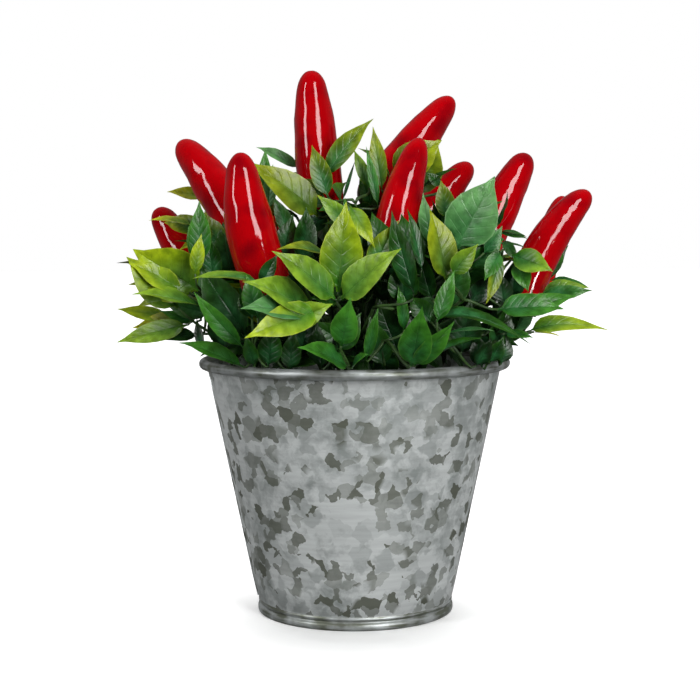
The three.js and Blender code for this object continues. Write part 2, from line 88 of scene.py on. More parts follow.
# The last two are this script's own: how thin a mass's stem and a stalk end
TWIG = {"stem": 1.4, "stalk": 1.2, "tip": 0.95, "stem_tip": 1.15, "stalk_tip": 0.55}
LEAF = {
    "length": 28.5, "spread": 0.16, "width_share": 0.58, "fold": 0.42, "droop": 0.2, "thickness": 0.9,
    "splay": 56, "tries": 16, "clearance": 0.5, "first_swing": 6, "more_swing": 3.5, "closing": 0.07,
    "roll": 0.35, "shrink": 0.018, "own_room": 0.7,
}
MARKS_ALONG = (0.2, 0.35, 0.5, 0.65, 0.8, 0.95)
MARKS_ACROSS = (-0.8, 0, 0.8)
TEST_STEPS, TEST_ACROSS, TEST_FIRST = 12, 3, 2
KITE = ((-0.012, 0.42, 1), (0, 1, 0))
PAIR_PLACES = (0.28, 0.62, 0.94)
PAIR_SIZES = (0.95, 1, 0.94)
MASSES = (
    ("front", 270, 13, 90), ("front_right", 314, 13, 94), ("right", 358, 12, 103),
    ("back_right", 44, 13, 93), ("back", 90, 13, 90), ("back_left", 137, 13, 93),
    ("left", 181, 15, 103), ("front_left", 225, 12, 94), ("mid_front", 273, 42, 87),
    ("mid_front_right", 325, 42, 89), ("mid_right", 17, 40, 88), ("mid_back_right", 68, 42, 88),
    ("mid_back_left", 121, 42, 88), ("mid_left", 172, 42, 93), ("mid_front_left", 221, 40, 88),
    ("top_left", 170, 71, 92), ("top_front", 290, 74, 95), ("top_right", 50, 72, 92),
)
SPRAY = {
    "places": ((-0.9, -0.55), (0.95, -0.5), (-0.65, 0.75), (0.7, 0.8)), "leaves": (0.3, 0.55, 0.8, 1),
    "width": 0.27, "stray": 0.2, "more_stray": 0.06, "shrink": 0.008, "tries": 24, "stem_length": 12,
    "stem_room": 5, "uneven_reach": 0.07, "heart_depth": 40, "fork_balls": 6, "roll_stray": 20,
    "splay_stray": 9, "end_turn": 0.6,
}
CHILLIES = (
    ((-12, 3, 158), (-17, 2, 217), 8.9, 0.5), ((-40, -20, 146), (-69.3, -2, 188.4), 8.7, -2.2),
    ((-30.5, -43, 127), (-42, -46, 182), 9.4, 2.5), ((-55.4, 22, 129), (-82.6, 30, 163), 8, 2),
    ((12, -29, 137), (26, -18, 188.6), 7.9, -1.5), ((5, 7, 162), (40.7, 20, 207.6), 8.4, -0.5),
    ((19.5, 21, 145), (49.4, 32, 181), 7.4, -1), ((46, 0, 134), (70.5, 6, 183.6), 8.3, -1.4),
    ((65.3, -11, 121), (93.4, -6, 168), 7.7, -4.5), ((78, 38, 126), (90.4, 43, 167.6), 6.4, -1),
    ((14, 46, 122), (19, 60, 168), 7.6, 3), ((-28, 42, 130), (-46, 54, 172), 7.6, -3),
)
FRUIT_SHARES = (0, 0.04, 0.16, 0.34, 0.54, 0.72, 0.87, 0.96, 1)
FRUIT_WIDTHS = (0.42, 0.8, 0.97, 1, 0.96, 0.85, 0.69, 0.47, 0)
FRUIT_SPACING = 1.5
# The last row is how this script draws a fruit's stalk, which flares at its end
STALK = {
    "radius": 1.15, "depth": 2.5, "ring": 13, "ring_step": 4, "turn_step": 5, "clearance": 0.4,
    "tries": 72, "rise": 0.35, "arrive": 0.3,
    "slimmer": 0.95, "flare": 0.35, "flare_start": 0.8, "sides": 7, "rows": 10,
}
SEED = 20713
LARGEST = 0xFFFFFFFF
MIXERS = (2654435761, 2246822519)
# Last whole numbers of the keys, which tell one use of the seeded rule from another, as the source has them
KEYS = {
    "swing_aside": 1, "swing_up": 2, "roll": 3, "end_leaf": 9, "stalk_aside": 11, "stalk_up": 12, "reach": 13,
    "stalk_length": 14, "first_roll": 15, "pair_roll": 16, "splay": 17, "leaf_length": 18,
    "end_face": (19, 20, 21),
}


def chance(*keys):
    """A number from 0 to 1 that depends only on its whole numbers. The source gives the same ones."""
    state = SEED
    for key in keys:
        state = ((state ^ (key + 1)) * MIXERS[0]) & LARGEST
        state ^= state >> 15
        state = (state * MIXERS[1]) & LARGEST
        state ^= state >> 13
    return state / (LARGEST + 1)


def spread(amount, *keys):
    return (chance(*keys) * 2 - 1) * amount


def vector(x, y, z):
    return np.array([x, y, z], float)


def length_of(v):
    return math.sqrt((v ** 2).sum())


def unit(v):
    return v / math.sqrt(v @ v)


def square_to(v, axis):
    """The part of a vector that is square to another, made one long."""
    return unit(v - axis * (v @ axis))


def direction(turn, lean):
    level = math.cos(lean * DEGREE)
    return vector(level * math.cos(turn * DEGREE), level * math.sin(turn * DEGREE), math.sin(lean * DEGREE))


def from_crown(turn, lean, reach):
    return direction(turn, lean) * reach + CROWN


class Curve:
    """A straight line, or a Bezier curve of three or four points, in millimetres."""

    def __init__(self, *points):
        self.points = points

    def at(self, share):
        share = np.atleast_1d(np.asarray(share, float))[:, None]
        order = len(self.points) - 1
        place = 0
        for i, point in enumerate(self.points):
            place = place + math.comb(order, i) * (1 - share) ** (order - i) * share ** i * point
        return place

    def tangent(self, share):
        small = 0.0001
        low, high = self.at([max(0, share - small), min(1, share + small)])
        return unit(high - low)

    def length(self):
        places = self.at(np.arange(LENGTH_STEPS + 1) / LENGTH_STEPS)
        return float(np.cumsum(np.sqrt(((places[1:] - places[:-1]) ** 2).sum(1)))[-1])


def balls_along(curve, radius_at, spacing=BALL_SPACING):
    """A chain of balls along a limb, as rows of x, y, z and radius."""
    count = max(2, math.ceil(curve.length() / spacing))
    shares = np.arange(count + 1) / count
    radii = np.array([radius_at(share) for share in shares])
    return np.column_stack([curve.at(shares), radii])


def joined(chains):
    chains = [chain for chain in chains if len(chain)]
    return np.concatenate(chains) if chains else np.zeros((0, 4))


def touches(places, radii, balls, clearance):
    """True if a place, or a ball of that radius at it, comes within the clearance of any of the balls."""
    if not len(balls):
        return False
    middle = places.mean(0)
    reach = math.sqrt(((places - middle) ** 2).sum(1).max()) + WIDEST_BALL
    near = balls[((balls[:, :3] - middle) ** 2).sum(1) < reach * reach]
    apart = ((places[:, None, :] - near[None, :, :3]) ** 2).sum(-1)
    room = np.reshape(radii, (-1, 1)) + near[None, :, 3] + clearance
    return bool((apart < room * room).any())


CELLS = np.array([from_crown(turn, lean, CELL_REACH) for _, turn, lean, _ in MASSES])


def room_in_cell(places, own):
    """How far each place is inside its own mass's share of the crown."""
    home = CELLS[own]
    others = np.delete(CELLS, own, 0)
    apart = np.sqrt(((others - home) ** 2).sum(1))
    to_home = ((places - home) ** 2).sum(1)[:, None]
    to_away = ((places[:, None, :] - others) ** 2).sum(-1)
    return ((to_away - to_home) / (2 * apart)).min(1)


class Leaf:
    """A leaf's pose: where it starts, the way it points, the way its face looks, and its size."""

    def __init__(self, root, aim, face, length, width_share=LEAF["width_share"], droop=LEAF["droop"]):
        self.root = root
        self.aim = unit(aim)
        self.face = square_to(face, self.aim)
        self.side = np.cross(self.aim, self.face)
        self.length = length
        self.half_width = length * width_share / 2
        self.droop = droop
        self.spray = (0, 0)
        self.tint = None

    def places(self, along, across):
        """Places on the leaf as the solids have it: along its rib and across it."""
        along, across = np.asarray(along, float), np.asarray(across, float)
        width = self.half_width * np.interp(along, *KITE)
        lift = LEAF["fold"] * np.abs(across) * width - self.droop * self.length * along ** 2
        return (self.root + np.multiply.outer(along * self.length, self.aim)
                + np.multiply.outer(across * width, self.side) + np.multiply.outer(lift, self.face))


def test_grid():
    rows = []
    for i in range(TEST_FIRST, TEST_STEPS + 1):
        most = 0 if i == TEST_STEPS else TEST_ACROSS
        rows += [(i / TEST_STEPS, j / most if most else 0) for j in range(-most, most + 1)]
    return np.array(rows).T


TEST_GRID = test_grid()
MARK_GRID = np.array([(along, across) for along in MARKS_ALONG for across in MARKS_ACROSS]).T


class Growth:
    """Everything that has grown so far: limbs as curves, leaves, fruit, and the balls they must clear."""

    def __init__(self):
        self.balls = np.zeros((0, 4))
        self.trunk = None
        self.boughs = []
        self.fruit = []
        self.stems = []
        self.stalks = []
        self.twigs = []
        self.leaves = {own: [] for own in range(len(MASSES))}


def stem_at(height):
    share = (height - PLUG_TOP - GAP) / STEM["height"]
    radius = STEM["foot"] + (STEM["top"] - STEM["foot"]) * share
    return STEM["lean_x"] * share, STEM["lean_y"] * share, radius


def grow_stem(growth):
    foot = vector(0, 0, PLUG_TOP + GAP)
    line = Curve(foot, vector(STEM["lean_x"], STEM["lean_y"], PLUG_TOP + GAP + STEM["height"]))
    growth.trunk = line
    growth.balls = balls_along(line, lambda share: stem_at(foot[2] + STEM["height"] * share)[2])


def grow_bough(turn, lean):
    """A bough's curve and root radius, its balls, and the balls of the stem of the mass it carries."""
    aim = direction(turn, lean)
    steep = lean > BOUGH["steep"]
    rise = STEM["height"] if steep else BOUGH["first_height"] + BOUGH["height_per_lean"] * lean
    height = PLUG_TOP + GAP + rise
    x, y, radius = stem_at(height)
    out = direction(turn, 0)
    start = vector(x, y, height)
    if steep:
        leave = vector(0, 0, 1)
        start = start + out * BOUGH["top_ring"] + leave * GAP
    else:
        leave = out
        start = start + out * (radius + BOUGH["stem_gap"])
    end = from_crown(turn, lean, BOUGH["tip_reach"]) + aim * (-GAP / 2)
    pull = length_of(start - end) * BOUGH["pull"]
    curve = Curve(start, start + leave * pull, end + aim * -pull, end)
    root = BOUGH["top_root"] if steep else BOUGH["root"]
    chain = balls_along(curve, lambda share: root + (BOUGH["tip"] - root) * share)
    mass_stem = Curve(end, end + aim * (SPRAY["stem_length"] + SPRAY["stem_room"]))
    return curve, root, chain, balls_along(mass_stem, lambda share: TWIG["stem"])


def grow_fruit(number, foot, tip, radius, bow, growth, limb_balls):
    """A fruit's curve, and its stalk's, which takes the first free place round the plug."""
    foot, tip = vector(*foot), vector(*tip)
    along = unit(tip - foot)
    bowed = square_to(unit(vector(along[0], along[1], 0)), along)
    middle = (foot + tip) / 2 + bowed * 2 * bow
    curve = Curve(foot, middle, tip)
    fruit_balls = balls_along(
        curve, lambda share: np.interp(share, FRUIT_SHARES, FRUIT_WIDTHS) * radius, FRUIT_SPACING)
    leave = unit(middle - foot)
    inside = foot + leave * STALK["depth"]
    home = math.atan2(foot[1], foot[0])
    others = joined([growth.balls, limb_balls])
    for attempt in range(STALK["tries"]):
        side = (1 if attempt % 2 else -1) * math.ceil(attempt / 2)
        ring = STALK["ring"] + (attempt % 3) * STALK["ring_step"]
        turn = home + side * STALK["turn_step"] * DEGREE
        root = vector(ring * math.cos(turn), ring * math.sin(turn), PLUG_TOP + GAP)
        reach = length_of(root - inside)
        stalk = Curve(root, root + vector(0, 0, reach * STALK["rise"]),
                      inside - leave * reach * STALK["arrive"], inside)
        chain = balls_along(stalk, lambda share: STALK["radius"])
        if not touches(chain[:, :3], chain[:, 3], others, STALK["clearance"]):
            growth.balls = joined([growth.balls, fruit_balls, chain])
            growth.fruit.append((curve, radius, stalk))
            return
    raise RuntimeError(f"no room for the stalk of chilli {number}")


def leaf_fits(leaf, own, growth, neighbours, finer=False):
    """True if a leaf is free. The finer ones may come closer, and further down inside the pot's rim."""
    places = leaf.places(*TEST_GRID)
    inside = finer & (np.hypot(places[:, 0], places[:, 1]) < FINE["pot_inside"])
    if (places[:, 2] < np.where(inside, FINE["lowest"], LOWEST_LEAF)).any():
        return False
    if room_in_cell(places, own).min() < CELL_GAP + (0 if finer else LEAF["thickness"] / 2):
        return False
    return not (touches(places, 0, growth.balls, GAP if finer else LEAF["clearance"])
                or touches(places, 0, neighbours, LEAF["clearance"]))


def grow_leaf(root, aim, face, onward, length, own, growth, neighbours, keys):
    """Tries a leaf in its wanted pose, then in poses turned and shortened by the rule, until one is free."""
    for attempt in range(LEAF["tries"]):
        swing = (LEAF["first_swing"] + LEAF["more_swing"] * attempt) * DEGREE
        side = unit(np.cross(face, aim))
        tried = unit(aim + onward * (LEAF["closing"] * attempt)
                     + side * math.tan(spread(swing, *keys, attempt, KEYS["swing_aside"]))
                     + face * math.tan(spread(swing, *keys, attempt, KEYS["swing_up"])))
        rolled = face + side * spread(LEAF["roll"], *keys, attempt, KEYS["roll"])
        leaf = Leaf(root, tried, rolled, length * (1 - LEAF["shrink"] * attempt))
        if leaf_fits(leaf, own, growth, neighbours):
            return leaf
    return None


def grow_stalk(mass, own, spray, stem_start, taken, growth):
    """The stalk of one spray. Its heading strays further with each try, until the stalk is free."""
    _, turn, lean, mass_reach = mass
    aim = direction(turn, lean)
    east = direction(turn + 90, 0)
    north = -np.cross(east, aim)
    across, up = SPRAY["places"][spray]
    start = stem_start + aim * (SPRAY["stem_length"] * SPRAY["leaves"][spray])
    length = LEAF["length"] * (1 + spread(LEAF["spread"], own, spray, KEYS["stalk_length"]))
    for attempt in range(SPRAY["tries"]):
        stray = SPRAY["stray"] + SPRAY["more_stray"] * attempt
        aside = (across + spread(stray, own, spray, attempt, KEYS["stalk_aside"])) * SPRAY["width"]
        rise = (up + spread(stray, own, spray, attempt, KEYS["stalk_up"])) * SPRAY["width"]
        heading = unit(aim + east * aside + north * rise)
        uneven = SPRAY["uneven_reach"] * chance(own, spray, KEYS["reach"])
        target = CROWN + heading * (mass_reach * (1 - uneven - SPRAY["shrink"] * attempt))
        curve = Curve(start, target - unit(target - start) * length)
        chain = balls_along(curve, lambda share: TWIG["stalk"])
        places, radii = chain[:, :3], chain[:, 3]
        if places[:, 2].min() < LOWEST_LEAF + TWIG["stalk"]:
            continue
        if room_in_cell(places, own).min() < TWIG["stalk"] + CELL_GAP:
            continue
        if touches(places, radii, growth.balls, GAP):
            continue
        if touches(places[SPRAY["fork_balls"]:], radii[SPRAY["fork_balls"]:], taken, GAP):
            continue
        return {"spray": spray, "curve": curve, "chain": chain, "length": length}
    return None


def outward_from(root, tangent):
    """Direction away from the heart of the plant, square to a stalk."""
    return square_to(root - (CROWN - vector(0, 0, SPRAY["heart_depth"])), tangent)


def splayed(tangent, flat, turn, splay, hand=1):
    """The way that a leaf points and the way that its face looks, where it splays off a limb."""
    sideways = (np.cross(flat, tangent) * math.cos(turn) + flat * math.sin(turn)) * hand
    aim = tangent * math.cos(splay) + sideways * math.sin(splay)
    return aim, tangent * math.sin(splay) - sideways * math.cos(splay)


def keep_leaf(leaf, own, spray, growth, marks):
    if leaf is None:
        return
    leaf.spray = (own, spray)
    growth.leaves[own].append(leaf)
    places = leaf.places(*MARK_GRID)
    marks.append(np.column_stack([places, np.full(len(places), LEAF["own_room"])]))


def grow_end_leaf(own, stalk, marks, limbs, growth):
    spray, curve = stalk["spray"], stalk["curve"]
    root = curve.at(1)[0]
    tangent = curve.tangent(1)
    turn = SPRAY["end_turn"]
    stray = vector(*(spread(turn, own, spray, key) for key in KEYS["end_face"]))
    face = outward_from(root, tangent) + stray
    leaf = grow_leaf(root, tangent, square_to(face, tangent), tangent, stalk["length"], own, growth,
                     joined([limbs, *marks]), (own, spray, KEYS["end_leaf"], KEYS["end_leaf"]))
    keep_leaf(leaf, own, spray, growth, marks)


def grow_pair(own, stalk, pair, marks, limbs, growth):
    """A pair of leaves that face the stalk's end, each pair turned on from the last."""
    spray, curve = stalk["spray"], stalk["curve"]
    root = curve.at(PAIR_PLACES[pair])[0]
    tangent = curve.tangent(PAIR_PLACES[pair])
    flat = outward_from(root, tangent)
    stray = spread(SPRAY["roll_stray"], own, spray, pair, KEYS["pair_roll"])
    roll = (chance(own, spray, KEYS["first_roll"]) * 180 + 90 * pair + stray) * DEGREE
    for hand in (1, -1):
        key = (own, spray, pair, hand + 1)
        splay = (LEAF["splay"] + spread(SPRAY["splay_stray"], *key, KEYS["splay"])) * DEGREE
        aim, face = splayed(tangent, flat, roll, splay, hand)
        length = LEAF["length"] * (1 + spread(LEAF["spread"], *key, KEYS["leaf_length"])) * PAIR_SIZES[pair]
        leaf = grow_leaf(root, aim, face, tangent, length, own, growth, joined([limbs, *marks]), key)
        keep_leaf(leaf, own, spray, growth, marks)


def grow_mass(own, growth):
    """One mass as the solids have it: its stem, its stalks, and the leaves that found room."""
    mass = MASSES[own]
    _, turn, lean, _ = mass
    aim = direction(turn, lean)
    start = from_crown(turn, lean, BOUGH["tip_reach"]) + aim * (GAP / 2)
    stem = Curve(start, start + aim * SPRAY["stem_length"])
    stem_balls = balls_along(stem, lambda share: TWIG["stem"])
    stalks = []
    for spray in range(len(SPRAY["places"])):
        stalk = grow_stalk(mass, own, spray, start, joined([other["chain"] for other in stalks]), growth)
        if stalk:
            stalks.append(stalk)
    marks = []

    def room_for(stalk):
        return joined([stem_balls, *(other["chain"] for other in stalks if other is not stalk)])

    for stalk in stalks:
        grow_end_leaf(own, stalk, marks, room_for(stalk), growth)
    for pair in reversed(range(len(PAIR_PLACES))):
        for stalk in stalks:
            grow_pair(own, stalk, pair, marks, room_for(stalk), growth)
    growth.stems.append(stem)
    growth.stalks += [(own, stalk) for stalk in stalks]
    return stem, stem_balls, stalks, marks


# Finer growth, which only this script adds: small leaves between the pairs, on the stems, boughs and twigs,
# and a collar of leaves under each fruit. Each place on a limb gets a pair or a ring of them.
FINE = {
    "splay_stray": 12, "spread": 0.14, "tries": 8, "turn_on": 137.5, "shrink": 0.03, "lowest": 95.5,
    "pot_inside": 52, "fork_balls": 3,
}
RINGS = {
    "gap": {"places": (0.12, 0.3, 0.45, 0.6, 0.78), "leaves": 2, "length": 21, "splay": 48, "key": 40},
    "stem": {"places": (0.35, 0.75, 1.0), "leaves": 3, "length": 21, "splay": 58, "key": 60},
    "bough": {"places": (0.5, 0.72, 0.92), "leaves": 3, "length": 19, "splay": 60, "key": 80},
    "fruit": {"places": (0.7, 0.82, 0.92), "leaves": 3, "length": 25, "splay": 34, "key": 100},
    "twig": {"places": (0.3, 0.55, 0.8), "leaves": 2, "length": 18, "splay": 48, "key": 300},
}
# Spray numbers of the leaves that are on no spray of the source's, and the last keys of a small leaf
LIMB_SPRAY, COLLAR_SPRAY, TWIG_SPRAY, PLACED_SPRAY = 5, 6, 8, 20
SMALL_LEAN_KEY, SMALL_LENGTH_KEY, SMALL_ROLL_KEY = 1, 2, 3


def grow_small(limb, place, turn, ring, own, growth, limbs, marks, keys):
    """One small leaf that splays off a limb. It is turned on round the limb until it is free."""
    root, tangent = limb.at(place)[0], limb.tangent(place)
    flat = outward_from(root, tangent)
    square = np.cross(flat, tangent)
    neighbours = joined([*limbs, *marks])
    for attempt in range(FINE["tries"]):
        roll = turn + attempt * FINE["turn_on"] * DEGREE
        lean = (ring["splay"] + spread(FINE["splay_stray"], *keys, attempt, SMALL_LEAN_KEY)) * DEGREE
        aim, face = splayed(tangent, flat, roll, lean)
        face = face + square * spread(LEAF["roll"], *keys, attempt, SMALL_ROLL_KEY)
        longer = 1 + spread(FINE["spread"], *keys, attempt, SMALL_LENGTH_KEY)
        leaf = Leaf(root, aim, face, ring["length"] * longer * (1 - FINE["shrink"] * attempt))
        if leaf_fits(leaf, own, growth, neighbours, finer=True):
            keep_leaf(leaf, own, keys[1], growth, marks)
            return


def grow_ring(kind, limb, place, start, own, growth, limbs, marks, keys):
    """A pair or a ring of small leaves round a limb, the first of them at a share of a turn."""
    ring = RINGS[kind]
    for i in range(ring["leaves"]):
        turn = (start + i / ring["leaves"]) * 2 * math.pi
        grow_small(limb, place, turn, ring, own, growth, limbs, marks, (*keys, i))


def grow_finer(own, growth, stem, stem_balls, stalks, marks):
    """Small leaves of one mass, opposite each other on its stalks and round its stem and bough."""
    for stalk in stalks:
        limbs = [stem_balls, *(other["chain"] for other in stalks if other is not stalk)]
        for i, place in enumerate(RINGS["gap"]["places"]):
            keys = (own, stalk["spray"], RINGS["gap"]["key"] + i)
            grow_ring("gap", stalk["curve"], place, chance(*keys), own, growth, limbs, marks, keys)
    limbs = [stalk["chain"][FINE["fork_balls"]:] for stalk in stalks]
    for kind, limb in (("stem", stem), ("bough", growth.boughs[own][0])):
        for i, place in enumerate(RINGS[kind]["places"]):
            key = RINGS[kind]["key"] + i
            keys = (own, LIMB_SPRAY, key)
            grow_ring(kind, limb, place, chance(own, key), own, growth, limbs, marks, keys)


def nearest_cell(place):
    return int(((CELLS - place) ** 2).sum(1).argmin())


def grow_between(kind, spray, number, limb, growth, marks_of):
    """Small leaves on a limb of no mass. Each counts to the mass whose share of the crown it is in."""
    ring = RINGS[kind]
    for i, place in enumerate(ring["places"]):
        own = nearest_cell(limb.at(place)[0])
        keys = (own, spray, ring["key"] + number, i)
        start = chance(number, ring["key"] + i)
        grow_ring(kind, limb, place, start, own, growth, [], marks_of[own], keys)


